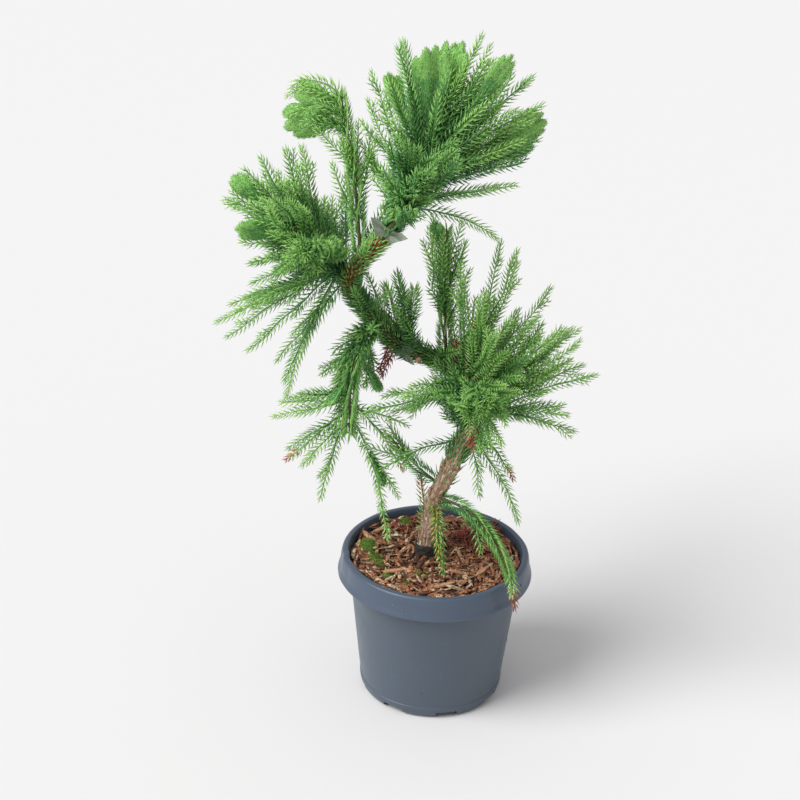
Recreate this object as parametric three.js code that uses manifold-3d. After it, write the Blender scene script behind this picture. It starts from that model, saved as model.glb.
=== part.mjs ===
// A young crested Japanese cedar, trained as a spiral, in its plastic nursery pot.
// Millimetres, +Z up. The origin is the middle of the pot's flat underside. The plant is seen
// from the front along +Y, with +X to the right. Headings are degrees from +X, anticlockwise
// from above: 0 is right, 90 is away, 180 is left, 270 is towards the front.

import * as THREE from 'three';
import { mergeVertices } from 'three/addons/utils/BufferGeometryUtils.js';
import Module from 'manifold-3d';

const wasm = await Module();
wasm.setup();

// Clearance kept between neighbouring pieces
const GAP = 0.35;

// Pot: a thin moulded wall with a flat rim whose collar turns down outside it
const POT_HEIGHT = 150;
const POT_WALL = 1.5;
const POT_FOOT_RADIUS = 66;
const POT_HEEL_RADIUS = 70.5;
const POT_HEEL_HEIGHT = 8;
const POT_SEAM_HEIGHT = 12;
const POT_SEAM_STEP = 0.6;
const POT_THROAT_RADIUS = 84.3;
const RIM_OUTER_RADIUS = 91;
const RIM_CHAMFER = 1.3;
const COLLAR_LOWER_RADIUS = 94.7;
const COLLAR_LOWER_HEIGHT = 127;
const COLLAR_WALL = 1.6;
const POT_SEGMENTS = 24;
const NOTCH_COUNT = 8;
const NOTCH_WIDTH = 21;
const NOTCH_HEIGHT = 4;
const NOTCH_INNER_RADIUS = 58;
const NOTCH_OVERCUT = 6;
const NOTCH_FIRST_TURN = 283;

// Potting mix: its surface lies a finger's width under the rim, and is level round the trunk
const MIX_TOP = 140;
const MIX_LEVEL_RADIUS = 14;
const MIX_RING_RADIUS = 46;
const MIX_UNEVEN = 1.4;
const MIX_EDGE = 2;

// Trunk: a spiral about an upright axis left of the pot's middle. Each station holds a height,
// the turn about that axis in degrees and the distance from it.
const SPIRAL_AXIS_X = -25;
const TRUNK_STATIONS = [
  [138, 16, 14.5],
  [182, 6, 18.5],
  [211, 0, 24],
  [255, 0, 41],
  [304, 5, 60],
  [324, 25, 55],
  [338, 65, 42],
  [349, 107, 37],
  [378, 150, 40],
  [423, 180, 61],
  [453, 198, 59],
  [489, 228, 47],
  [530, 257, 31],
  [551, 280, 18],
  [572, 328, 9],
  [598, 360, 11],
];
// Height and half thickness of the trunk, from the flare at the mix to the tip
const TRUNK_TAPER = [
  [138, 9],
  [144, 7.6],
  [235, 7.4],
  [306, 6.6],
  [423, 5.4],
  [489, 4.2],
  [530, 3.2],
  [572, 2],
  [598, 1.2],
];
const TRUNK_SAMPLES = 30;
const TRUNK_SIDES = 6;
const TRUNK_CUT_SIZE = 80;

// Sleeve round the trunk's foot, and the two tape ties that held the trunk to its training cane
const SLEEVE_LOW = 143;
const SLEEVE_HIGH = 156;
const SLEEVE_WALL = 1.7;
const SLEEVE_SIDES = 9;
const TIE_WALL = 1.2;
const TIES = {
  tie_upper: { height: 493, width: 9, tabLength: 13, heading: 285, rise: 30 },
  tie_lower: { height: 350, width: 9, tabLength: 9, heading: 265, rise: -10 },
};
const TIE_TAB_WIDTH = 8;
const TIE_TAB_THICKNESS = 1.6;
const TIE_SIDES = 6;

// Boughs. Limb it leaves, where (a height on the trunk), heading, rise, length, change of rise
// and of heading on the way, half thickness at both ends, and how much of it stands outside
// the foliage.
const BOUGHS = {
  left_bough: ['trunk', 432, 170, 50, 105, -22, 0, 4.6, 1.6, 0.3],
  hook_bough: ['trunk', 458, 120, 84, 150, -8, 40, 3.6, 1.4, 0.46],
  weeping_bough: ['trunk', 380, 225, -18, 115, -82, 60, 4.2, 1.4, 0.2],
  tall_bough: ['trunk', 334, 240, 82, 140, 8, 0, 3.4, 1.2, 0.42],
  low_left_bough: ['trunk', 222, 168, 30, 70, 24, 0, 2.8, 1.1, 0.56],
  low_right_bough: ['trunk', 208, 318, 16, 150, -100, -8, 2.8, 1, 0.32],
};
const BOUGH_SIDES = 5;
const BOUGH_RINGS = [0, 0.33, 0.66, 1];
const LIMB_SAMPLES = 12;

// How the half width and half thickness of a spray run from its foot to its tip
const OUTLINES = {
  plume: [[0, 0.4, 0.9], [0.3, 0.96, 1.5], [0.72, 0.9, 1], [1, 0.25, 0.4]],
  fan: [[0, 0.3, 0.8], [0.36, 0.66, 1.5], [0.84, 1, 1], [1, 0.66, 0.5]],
  clump: [[0, 0.5, 0.5], [0.5, 1, 1], [1, 0.5, 0.5]],
};
const SIDES = { plume: 4, fan: 4, clump: 6 };

// How uneven each kind of surface is, as a part of its radius, and where its pattern starts
const UNEVEN = { trunk: 0.04, sleeve: 0.03, bough: 0.05, spray: 0.13 };
const SEED = { trunk: 3, sleeve: 5, mix: 7, bough: 11, spray: 20 };
const SEEDS_PER_MASS = 7;

// Masses of foliage, each a union of its sprays. A spray holds the limb it grows from, where
// (a height on the trunk, a share of a bough), heading, rise, length, change of rise and of
// heading on the way, half width, half thickness, roll of the flat side, and its outline.
const MASSES = {
  crown_heart: [
    ['trunk', 508, 45, 62, 78, 10, 0, 27, 24, 0, 'clump'],
  ],
  ball_heart: [
    ['trunk', 284, 95, 66, 78, 0, 0, 41, 38, 0, 'clump'],
  ],
  left_heart: [
    ['left_bough', 0.1, 170, 38, 88, -12, 0, 36, 34, 0, 'clump'],
  ],
  crown_crest: [
    ['trunk', 549, 62, 68, 104, 0, 0, 15, 7, 10, 'fan'],
    ['trunk', 551, 84, 82, 98, 0, 0, 15, 7, 10, 'fan'],
  ],
  crown_feather: [
    ['trunk', 558, 134, 64, 97, 6, 0, 11, 8, 0, 'plume'],
    ['trunk', 548, 152, 74, 104, 0, 0, 12, 9, 0, 'plume'],
  ],
  crown_peak: [
    ['trunk', 575, 47, 46, 95, 14, 0, 9, 7, 60, 'plume'],
    ['trunk', 570, 13, 53, 93, 12, 0, 9, 7, 60, 'plume'],
  ],
  crown_left_high: [
    ['trunk', 530, 124, 49, 114, 0, 0, 9, 7, 30, 'plume'],
    ['trunk', 525, 143, 56, 91, 0, 0, 10, 7, 30, 'plume'],
    ['trunk', 534, 164, 68, 86, 0, 0, 11, 8, 0, 'plume'],
  ],
  crown_left_low: [
    ['trunk', 512, 122, 28, 88, 0, 0, 9, 7, 60, 'plume'],
    ['trunk', 508, 134, 50, 60, 0, 0, 9, 7, 40, 'plume'],
  ],
  crown_ridge: [
    ['trunk', 556, 359, 50, 112, 8, 0, 12, 7, 90, 'fan'],
    ['trunk', 558, 22, 44, 105, 0, 0, 11, 7, 90, 'fan'],
  ],
  crown_back: [
    ['trunk', 536, 66, 30, 62, 0, 0, 24, 18, 60, 'clump'],
    ['trunk', 552, 31, 30, 122, 0, 0, 10, 7, 90, 'plume'],
    ['trunk', 556, 50, 24, 108, 0, 0, 11, 8, 70, 'plume'],
    ['trunk', 542, 92, 32, 92, 0, 0, 15, 9, 50, 'fan'],
  ],
  crown_right_crest: [
    ['trunk', 546, 5, 30, 121, 0, 0, 14, 7, 90, 'fan'],
    ['trunk', 544, 15, 20, 116, 0, 0, 14, 7, 90, 'fan'],
  ],
  crown_right_under: [
    ['trunk', 535, 27, 12, 116, 0, 0, 12, 7, 80, 'fan'],
    ['trunk', 530, 8, 16, 94, 0, 0, 11, 7, 80, 'plume'],
  ],
  crown_right_low: [
    ['trunk', 522, 10, 6, 94, 0, 0, 10, 7, 80, 'plume'],
    ['trunk', 520, 30, 0, 92, 0, 0, 10, 7, 80, 'plume'],
    ['trunk', 514, 6, 1, 90, -40, 0, 9, 6, 80, 'plume'],
  ],
  crown_front: [
    ['trunk', 516, 290, 46, 56, 0, 0, 20, 16, 0, 'clump'],
    ['trunk', 530, 302, 42, 86, 0, 0, 13, 8, 20, 'fan'],
    ['trunk', 522, 250, 58, 80, 0, 0, 12, 8, 20, 'fan'],
    ['trunk', 512, 268, 24, 74, 0, 0, 12, 8, 20, 'fan'],
  ],
  hook_crest: [
    ['hook_bough', 0.86, 172, 50, 46, -70, 0, 14, 7, 80, 'fan'],
    ['hook_bough', 0.8, 170, 24, 56, -60, 0, 13, 7, 80, 'fan'],
  ],
  hook_plume: [
    ['hook_bough', 0.46, 150, 80, 66, 0, 0, 12, 8, 30, 'plume'],
    ['hook_bough', 0.42, 90, 66, 60, 8, 0, 9, 7, 30, 'plume'],
  ],
  left_high: [
    ['left_bough', 0.35, 134, 68, 94, 8, 0, 11, 8, 20, 'plume'],
    ['left_bough', 0.45, 181, 69, 91, 8, 0, 11, 8, 20, 'plume'],
    ['left_bough', 0.6, 210, 60, 84, 4, 0, 11, 8, 20, 'plume'],
  ],
  left_knob: [
    ['left_bough', 0.6, 193, 40, 80, 0, 0, 14, 8, 70, 'fan'],
    ['left_bough', 0.6, 168, 46, 75, 0, 0, 10, 7, 50, 'plume'],
  ],
  left_out: [
    ['left_bough', 0.68, 173, 18, 66, 0, 0, 12, 9, 70, 'plume'],
    ['left_bough', 0.62, 157, 9, 68, 0, 0, 12, 9, 70, 'plume'],
  ],
  left_paddle: [
    ['left_bough', 0.45, 201, 17, 74, 0, 0, 14, 7, 80, 'fan'],
  ],
  left_spikes: [
    ['left_bough', 0.4, 190, -12, 64, 0, 0, 11, 8, 80, 'plume'],
    ['left_bough', 0.34, 206, -16, 72, 0, 0, 11, 8, 80, 'plume'],
  ],
  left_low: [
    ['left_bough', 0.2, 184, -29, 122, 0, 0, 10, 7, 60, 'plume'],
    ['left_bough', 0.18, 171, -38, 132, 0, 0, 10, 8, 60, 'plume'],
    ['left_bough', 0.22, 158, -36, 102, 0, 0, 10, 8, 60, 'plume'],
    ['left_bough', 0.14, 196, -40, 112, 0, 0, 10, 8, 60, 'plume'],
  ],
  left_hanging: [
    ['left_bough', 0.04, 188, -52, 104, 0, 0, 9, 7, 60, 'plume'],
    ['left_bough', 0.14, 201, -58, 132, -18, 0, 9, 7, 60, 'plume'],
  ],
  left_front: [
    ['left_bough', 0.4, 256, 18, 62, 0, 0, 26, 22, 0, 'clump'],
    ['left_bough', 0.3, 272, 30, 88, 0, 0, 13, 8, 10, 'fan'],
    ['left_bough', 0.6, 252, 38, 88, 0, 0, 13, 8, 10, 'fan'],
    ['left_bough', 0.44, 250, 0, 84, 0, 0, 14, 9, 10, 'fan'],
  ],
  left_back: [
    ['left_bough', 0.4, 98, 14, 62, 0, 0, 26, 22, 0, 'clump'],
    ['left_bough', 0.3, 80, 24, 88, 0, 0, 13, 8, 10, 'fan'],
    ['left_bough', 0.55, 112, 22, 90, 0, 0, 13, 8, 10, 'fan'],
    ['left_bough', 0.4, 104, -22, 86, 0, 0, 13, 8, 10, 'fan'],
  ],
  weeping_shoulder: [
    ['weeping_bough', 0.06, 225, -6, 56, -62, 0, 14, 12, 0, 'clump'],
  ],
  weeping_curtain: [
    ['weeping_bough', 0.42, 214, -62, 74, -24, 0, 14, 12, 0, 'plume'],
    ['weeping_bough', 0.4, 190, -40, 40, -40, 0, 11, 9, 0, 'plume'],
  ],
  weeping_left: [
    ['weeping_bough', 0.7, 176, -18, 74, 0, 0, 9, 7, 60, 'plume'],
    ['weeping_bough', 0.66, 160, -14, 62, 0, 0, 9, 7, 60, 'plume'],
  ],
  weeping_tail: [
    ['weeping_bough', 0.82, 162, -66, 100, -16, 0, 10, 7, 60, 'plume'],
    ['weeping_bough', 0.78, 164, -46, 90, 0, 0, 10, 7, 60, 'plume'],
  ],
  weeping_pot: [
    ['weeping_bough', 0.8, 5, -66, 144, -16, 0, 10, 8, 60, 'plume'],
    ['weeping_bough', 0.72, 18, -46, 96, -20, 0, 9, 7, 60, 'plume'],
  ],
  weeping_back: [
    ['weeping_bough', 0.25, 96, -48, 96, -24, 0, 12, 9, 30, 'fan'],
    ['weeping_bough', 0.3, 114, -42, 88, -24, 0, 12, 9, 30, 'plume'],
  ],
  ball_tall: [
    ['tall_bough', 0.38, 217, 80, 96, 0, 0, 12, 8, 0, 'fan'],
    ['tall_bough', 0.5, 349, 74, 60, 0, 0, 8, 7, 0, 'plume'],
  ],
  ball_left_high: [
    ['trunk', 346, 190, 64, 72, 10, 0, 11, 8, 0, 'plume'],
    ['trunk', 345, 245, 66, 100, 4, 0, 10, 8, 0, 'plume'],
  ],
  ball_upright: [
    ['trunk', 325, 258, 67, 149, 0, 0, 10, 8, 0, 'plume'],
    ['trunk', 323, 278, 62, 124, 4, 0, 10, 8, 0, 'plume'],
    ['trunk', 321, 284, 50, 110, 0, 0, 10, 8, 0, 'plume'],
  ],
  ball_fork: [
    ['trunk', 325, 314, 69, 157, 0, 0, 10, 7, 60, 'plume'],
    ['trunk', 324, 2, 71, 124, 0, 0, 9, 7, 60, 'plume'],
  ],
  ball_right_high: [
    ['trunk', 320, 16, 50, 117, 6, 0, 10, 7, 70, 'plume'],
    ['trunk', 318, 42, 50, 82, 6, 0, 10, 7, 70, 'plume'],
  ],
  ball_right_front: [
    ['trunk', 316, 328, 54, 110, 6, 0, 10, 7, 70, 'plume'],
    ['trunk', 314, 317, 44, 126, 6, 0, 10, 7, 70, 'plume'],
  ],
  ball_crest: [
    ['trunk', 312, 349, 36, 130, 12, 0, 15, 8, 80, 'fan'],
    ['trunk', 312, 7, 33, 110, 12, 0, 11, 7, 80, 'plume'],
  ],
  ball_right: [
    ['trunk', 310, 6, 20, 102, 0, 0, 11, 7, 80, 'plume'],
    ['trunk', 308, 344, 22, 117, 2, 0, 10, 7, 80, 'plume'],
  ],
  ball_right_low: [
    ['trunk', 304, 338, 10, 88, -6, 0, 11, 7, 80, 'plume'],
    ['trunk', 300, 2, -3, 95, -18, 0, 11, 7, 80, 'plume'],
    ['trunk', 300, 24, -12, 84, -12, 0, 11, 7, 80, 'plume'],
  ],
  ball_left: [
    ['trunk', 322, 202, 3, 88, -10, 0, 10, 7, 70, 'plume'],
    ['trunk', 318, 210, 3, 121, -8, 0, 10, 7, 70, 'plume'],
    ['trunk', 318, 188, -12, 80, -10, 0, 11, 8, 70, 'plume'],
  ],
  ball_front: [
    ['trunk', 312, 274, 18, 62, 0, 0, 28, 24, 0, 'clump'],
    ['trunk', 314, 296, 32, 92, -8, 0, 14, 8, 10, 'fan'],
    ['trunk', 312, 258, 26, 94, -10, 0, 14, 8, 10, 'fan'],
    ['trunk', 310, 276, 2, 90, -14, 0, 14, 8, 10, 'fan'],
  ],
  ball_back: [
    ['trunk', 322, 82, 18, 56, 0, 0, 28, 24, 0, 'clump'],
    ['trunk', 324, 92, 56, 88, 0, 0, 14, 8, 10, 'fan'],
    ['trunk', 322, 58, 18, 88, -10, 0, 14, 8, 10, 'fan'],
    ['trunk', 322, 100, 12, 84, -10, 0, 14, 8, 10, 'fan'],
  ],
  low_hanging: [
    ['trunk', 284, 340, -40, 30, -20, 0, 13, 11, 0, 'clump'],
    ['trunk', 278, 302, -52, 62, -26, 0, 8, 6, 0, 'plume'],
    ['trunk', 280, 20, -32, 78, -36, 0, 8, 6, 0, 'plume'],
    ['trunk', 279, 348, -46, 104, -28, 0, 8, 6, 0, 'plume'],
  ],
  low_left: [
    ['low_left_bough', 0.55, 175, 14, 48, 0, 0, 9, 6, 70, 'plume'],
    ['low_left_bough', 0.62, 140, 46, 34, 0, 0, 9, 6, 70, 'plume'],
  ],
  low_left_hanging: [
    ['trunk', 274, 203, -3, 88, -20, 0, 8, 6, 70, 'plume'],
  ],
  low_right: [
    ['low_right_bough', 0.32, 315, -18, 102, -66, 0, 9, 6, 0, 'plume'],
    ['low_right_bough', 0.34, 290, -40, 34, -30, 0, 8, 6, 0, 'plume'],
  ],
  low_front: [
    ['trunk', 206, 279, -17, 78, -50, 0, 9, 6, 0, 'plume'],
  ],
};

// Finishes: colour, roughness
const POT_PLASTIC = [0x5b6776, 0.45];
const POTTING_MIX = [0x7a4a30, 0.95];
const BARK = [0x9b7d66, 0.9];
const GREEN_BARK = [0x8a6a42, 0.85];
const SLEEVE_RUBBER = [0x2b2f2b, 0.7];
const TIE_TAPE = [0xa9b5a0, 0.4];
const FOLIAGE = [0x3f8a3f, 0.8];
const CREST_FOLIAGE = [0x5cab4a, 0.8];

const plant = new THREE.Group();

// Helpers: repeatable unevenness, and manifold solids from closed geometries

function uneven(seed, step) {
  const wave = Math.sin(seed * 127.1 + step * 311.7) * 43758.5453;
  return 2 * (wave - Math.floor(wave)) - 1;
}

function toSolid(geometry) {
  geometry.deleteAttribute('normal');
  geometry.deleteAttribute('uv');
  const merged = mergeVertices(geometry);
  const corners = Array.from(merged.index.array);
  const triVerts = [];
  for (let i = 0; i < corners.length; i += 3) {
    const [a, b, c] = corners.slice(i, i + 3);
    if (a !== b && b !== c && c !== a) triVerts.push(a, b, c);
  }
  return new wasm.Manifold(new wasm.Mesh({
    numProp: 3,
    vertProperties: new Float32Array(merged.attributes.position.array),
    triVerts: new Uint32Array(triVerts),
  }));
}

function largestBody(solid) {
  return solid.decompose().reduce((best, body) => (body.volume() > best.volume() ? body : best));
}

function addPiece(name, solid, [color, roughness]) {
  const { vertProperties, triVerts } = largestBody(solid).getMesh();
  const geometry = new THREE.BufferGeometry();
  geometry.setAttribute('position', new THREE.BufferAttribute(vertProperties, 3));
  geometry.setIndex(new THREE.BufferAttribute(triVerts, 1));
  geometry.computeVertexNormals();
  const material = new THREE.MeshStandardMaterial({ color, roughness, metalness: 0 });
  const mesh = new THREE.Mesh(geometry, material);
  mesh.name = name;
  plant.add(mesh);
}

// Paths: a list of samples, each with its place, the way ahead and the side it carries along

function pointing(heading, rise) {
  const turn = THREE.MathUtils.degToRad(heading);
  const tilt = THREE.MathUtils.degToRad(rise);
  return new THREE.Vector3(
    Math.cos(tilt) * Math.cos(turn),
    Math.cos(tilt) * Math.sin(turn),
    Math.sin(tilt),
  );
}

function carriedAlong(points, firstSide) {
  const side = firstSide.clone();
  return points.map((place, i) => {
    const before = points[Math.max(i - 1, 0)];
    const after = points[Math.min(i + 1, points.length - 1)];
    const ahead = after.clone().sub(before).normalize();
    side.addScaledVector(ahead, -side.dot(ahead)).normalize();
    return { place: place.clone(), ahead, side: side.clone() };
  });
}

function trunkPath() {
  const stations = TRUNK_STATIONS.map(([height, turn, out]) => {
    const around = pointing(turn, 0).multiplyScalar(out);
    return new THREE.Vector3(SPIRAL_AXIS_X + around.x, around.y, height);
  });
  const curve = new THREE.CatmullRomCurve3(stations, false, 'catmullrom', 0.5);
  return carriedAlong(curve.getPoints(TRUNK_SAMPLES), new THREE.Vector3(1, 0, 0));
}

function sprayPath(root, heading, rise, length, bend, swing) {
  const points = [root.clone()];
  for (let i = 0; i < LIMB_SAMPLES; i += 1) {
    const share = (i + 0.5) / LIMB_SAMPLES;
    const step = pointing(heading + swing * share, rise + bend * share);
    points.push(points[i].clone().addScaledVector(step, length / LIMB_SAMPLES));
  }
  return carriedAlong(points, pointing(heading + 90, 0));
}

function sampleAt(path, share) {
  const along = THREE.MathUtils.clamp(share, 0, 1) * (path.length - 1);
  const low = Math.min(Math.floor(along), path.length - 2);
  const mix = along - low;
  const [a, b] = [path[low], path[low + 1]];
  return {
    place: a.place.clone().lerp(b.place, mix),
    ahead: a.ahead.clone().lerp(b.ahead, mix).normalize(),
    side: a.side.clone().lerp(b.side, mix).normalize(),
  };
}

function shareAtHeight(path, height) {
  const next = path.findIndex((sample) => sample.place.z > height);
  const [a, b] = [path[next - 1].place.z, path[next].place.z];
  return (next - 1 + (height - a) / (b - a)) / (path.length - 1);
}

function interpolate(table, at) {
  const next = table.findIndex(([place]) => place > at);
  if (next < 0) return table[table.length - 1][1];
  if (next === 0) return table[0][1];
  const [[a, low], [b, high]] = [table[next - 1], table[next]];
  return low + (high - low) * (at - a) / (b - a);
}

// A closed solid along a path. Each ring holds its share of the path and two half widths.
function ringedSolid(path, rings, { sides, roll = 0, seed = 0, amount = 0, grow = 0 }) {
  const last = rings.length + 1;
  const profile = [new THREE.Vector2(0, 0)];
  rings.forEach((ring, k) => profile.push(new THREE.Vector2(1, k + 1)));
  profile.push(new THREE.Vector2(0, last));
  const geometry = new THREE.LatheGeometry(profile.reverse(), sides);
  const corners = geometry.attributes.position;
  const turned = THREE.MathUtils.degToRad(roll);
  for (let i = 0; i < corners.count; i += 1) {
    const ringIndex = Math.round(corners.getY(i));
    const spoke = Math.floor(i / profile.length) % sides;
    const [share, wide, thick] = rings[THREE.MathUtils.clamp(ringIndex, 1, last - 1) - 1];
    const { place, ahead, side } = sampleAt(path, share);
    const up = ahead.clone().cross(side);
    const across = side.clone().multiplyScalar(Math.cos(turned)).addScaledVector(up, Math.sin(turned));
    const through = ahead.clone().cross(across);
    const bump = 1 + amount * uneven(seed, ringIndex * sides + spoke);
    const end = ringIndex <= 1 ? -1 : 1;
    const beyond = ringIndex <= 1 || ringIndex >= last - 1 ? end * grow : 0;
    const spot = place
      .addScaledVector(across, corners.getX(i) * (wide * bump + grow))
      .addScaledVector(through, corners.getZ(i) * (thick * bump + grow))
      .addScaledVector(ahead, beyond);
    corners.setXYZ(i, spot.x, spot.y, spot.z);
  }
  return toSolid(geometry);
}

// Pot

function potInside(height) {
  const lowest = POT_HEEL_RADIUS - POT_WALL - POT_SEAM_STEP;
  const slope = (POT_THROAT_RADIUS - lowest) / (POT_HEIGHT - POT_HEEL_HEIGHT);
  return lowest + slope * (height - POT_HEEL_HEIGHT);
}

function potProfile() {
  const outside = (height) => potInside(height) + POT_WALL;
  const underRim = POT_HEIGHT - COLLAR_WALL;
  const heelTurn = Math.PI / 4;
  return [
    [0, 0],
    [POT_FOOT_RADIUS, 0],
    [
      POT_FOOT_RADIUS + (POT_HEEL_RADIUS - POT_FOOT_RADIUS) * Math.sin(heelTurn),
      POT_HEEL_HEIGHT * (1 - Math.cos(heelTurn)),
    ],
    [POT_HEEL_RADIUS, POT_HEEL_HEIGHT],
    [outside(POT_SEAM_HEIGHT) + POT_SEAM_STEP, POT_SEAM_HEIGHT],
    [outside(POT_SEAM_HEIGHT), POT_SEAM_HEIGHT],
    [outside(underRim), underRim],
    [RIM_OUTER_RADIUS - COLLAR_WALL, underRim],
    [COLLAR_LOWER_RADIUS - COLLAR_WALL, COLLAR_LOWER_HEIGHT],
    [COLLAR_LOWER_RADIUS, COLLAR_LOWER_HEIGHT],
    [RIM_OUTER_RADIUS, underRim],
    [RIM_OUTER_RADIUS - RIM_CHAMFER, POT_HEIGHT],
    [POT_THROAT_RADIUS, POT_HEIGHT],
    [potInside(POT_HEEL_HEIGHT), POT_HEEL_HEIGHT],
    [POT_FOOT_RADIUS, POT_WALL],
    [0, POT_WALL],
  ];
}

function latheUpright(points, segments) {
  const profile = points.map(([radius, height]) => new THREE.Vector2(radius, height));
  const geometry = new THREE.LatheGeometry(profile, segments);
  geometry.rotateX(Math.PI / 2);
  return geometry;
}

function makePot() {
  let pot = toSolid(latheUpright(potProfile(), POT_SEGMENTS));
  const depth = POT_HEEL_RADIUS + NOTCH_OVERCUT - NOTCH_INNER_RADIUS;
  for (let i = 0; i < NOTCH_COUNT; i += 1) {
    const notch = new THREE.BoxGeometry(depth, NOTCH_WIDTH, 2 * NOTCH_HEIGHT);
    notch.translate(NOTCH_INNER_RADIUS + depth / 2, 0, 0);
    notch.rotateZ(THREE.MathUtils.degToRad(NOTCH_FIRST_TURN + i * 360 / NOTCH_COUNT));
    pot = pot.subtract(toSolid(notch));
  }
  addPiece('pot', pot, POT_PLASTIC);
}

function makeMix() {
  const low = POT_WALL + GAP;
  const edge = MIX_TOP - MIX_EDGE;
  const points = [
    [0, low],
    [POT_FOOT_RADIUS - POT_WALL, low],
    [potInside(POT_HEEL_HEIGHT) - GAP, POT_HEEL_HEIGHT + GAP],
    [potInside(edge - MIX_UNEVEN) - GAP, edge],
    [MIX_RING_RADIUS, MIX_TOP],
    [MIX_LEVEL_RADIUS, MIX_TOP],
    [0, MIX_TOP],
  ];
  const unevenRings = [3, 4];
  const geometry = latheUpright(points, POT_SEGMENTS);
  const corners = geometry.attributes.position;
  for (let i = 0; i < corners.count; i += 1) {
    const ring = i % points.length;
    if (!unevenRings.includes(ring)) continue;
    const spoke = Math.floor(i / points.length) % POT_SEGMENTS;
    const drop = MIX_UNEVEN * (1 - uneven(SEED.mix, spoke * points.length + ring)) / 2;
    corners.setZ(i, corners.getZ(i) - drop);
  }
  addPiece('potting_mix', toSolid(geometry), POTTING_MIX);
}

// Trunk, boughs and what is wrapped round the trunk

const paths = { trunk: trunkPath() };

function trunkSolid(extra) {
  const path = paths.trunk;
  const rings = path.map(({ place }, i) => {
    const half = interpolate(TRUNK_TAPER, place.z) + extra;
    return [i / (path.length - 1), half, half];
  });
  return ringedSolid(path, rings, { sides: TRUNK_SIDES, seed: SEED.trunk, amount: UNEVEN.trunk });
}

const grownTrunk = trunkSolid(GAP);

// What later pieces are cut back from
const taken = [grownTrunk];

function cutByTaken(solid) {
  return taken.reduce((left, other) => left.subtract(other), solid);
}

function makeTrunk() {
  const under = new THREE.BoxGeometry(TRUNK_CUT_SIZE, TRUNK_CUT_SIZE, TRUNK_CUT_SIZE);
  under.translate(0, 0, MIX_TOP + GAP - TRUNK_CUT_SIZE / 2);
  addPiece('trunk', trunkSolid(0).subtract(toSolid(under)), BARK);
}

function sleeveRings(low, high, extra) {
  const path = paths.trunk;
  const [from, to] = [shareAtHeight(path, low), shareAtHeight(path, high)];
  return [0, 0.5, 1].map((part) => {
    const height = low + (high - low) * part;
    const half = interpolate(TRUNK_TAPER, height) + extra;
    return [from + (to - from) * part, half, half];
  });
}

function makeSleeve() {
  const rings = sleeveRings(SLEEVE_LOW, SLEEVE_HIGH, SLEEVE_WALL);
  const sleeve = ringedSolid(paths.trunk, rings, {
    sides: SLEEVE_SIDES,
    seed: SEED.sleeve,
    amount: UNEVEN.sleeve,
  });
  addPiece('foot_sleeve', sleeve.subtract(grownTrunk), SLEEVE_RUBBER);
}

function tieSolid({ height, width, tabLength, heading, rise }, extra) {
  const low = height - width / 2 - extra;
  const rings = sleeveRings(low, height + width / 2 + extra, TIE_WALL + extra);
  const band = ringedSolid(paths.trunk, rings, { sides: TIE_SIDES });
  const { place } = sampleAt(paths.trunk, shareAtHeight(paths.trunk, height));
  const tab = new THREE.BoxGeometry(
    2 * tabLength + extra,
    TIE_TAB_WIDTH + extra,
    TIE_TAB_THICKNESS + extra,
  );
  tab.translate(tabLength, 0, 0);
  const along = new THREE.Vector3(1, 0, 0);
  tab.applyQuaternion(new THREE.Quaternion().setFromUnitVectors(along, pointing(heading, rise)));
  tab.translate(place.x, place.y, place.z);
  return band.add(toSolid(tab));
}

function makeTies() {
  Object.entries(TIES).forEach(([name, tie]) => {
    addPiece(name, tieSolid(tie, 0).subtract(grownTrunk), TIE_TAPE);
    taken.push(tieSolid(tie, 2 * GAP));
  });
}

function boughSolid(name, grow) {
  const [, , , , , , , thickest, thinnest, shown] = BOUGHS[name];
  const rings = BOUGH_RINGS.map((part) => {
    const half = thickest + (thinnest - thickest) * part * shown;
    return [part * shown, half, half];
  });
  return ringedSolid(paths[name], rings, {
    sides: BOUGH_SIDES,
    seed: SEED.bough,
    amount: UNEVEN.bough,
    grow,
  });
}

function rootOn(limb, at) {
  const path = paths[limb];
  const share = limb === 'trunk' ? shareAtHeight(path, at) : at;
  return sampleAt(path, share).place;
}

function makeBoughs() {
  Object.entries(BOUGHS).forEach(([name, row]) => {
    const [limb, at, heading, rise, length, bend, swing] = row;
    paths[name] = sprayPath(rootOn(limb, at), heading, rise, length, bend, swing);
    addPiece(name, cutByTaken(boughSolid(name, 0)), GREEN_BARK);
    taken.push(boughSolid(name, GAP));
  });
}

// Foliage

function spraySolid(row, seed, grow) {
  const [limb, at, heading, rise, length, bend, swing, wide, thick, roll, outline] = row;
  const path = sprayPath(rootOn(limb, at), heading, rise, length, bend, swing);
  const rings = OUTLINES[outline].map(([share, w, t]) => [share, wide * w, thick * t]);
  return ringedSolid(path, rings, {
    sides: SIDES[outline],
    roll,
    seed,
    amount: UNEVEN.spray,
    grow,
  });
}

function massSolid(rows, seed, grow) {
  const sprays = rows.map((row, i) => spraySolid(row, seed + i, grow));
  return sprays.reduce((all, spray) => all.add(spray));
}

function makeMasses() {
  Object.entries(MASSES).forEach(([name, rows], i) => {
    const seed = SEED.spray + SEEDS_PER_MASS * i;
    const finish = rows[0][rows[0].length - 1] === 'fan' ? CREST_FOLIAGE : FOLIAGE;
    addPiece(name, cutByTaken(massSolid(rows, seed, 0)), finish);
    taken.push(massSolid(rows, seed, GAP));
  });
}

makePot();
makeMix();
makeTrunk();
makeSleeve();
makeTies();
makeBoughs();
makeMasses();

export default plant;
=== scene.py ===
# A young crested cedar trained as an open spiral, in its nursery pot. This gives the packed
# model its looks. It is laid out as an add-on and run as a script. Tables are in millimetres
# and degrees in the CAD's frame: +Z up, the front towards -Y, and headings anticlockwise from
# +X as seen from above. Blender's objects are in metres.

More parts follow.
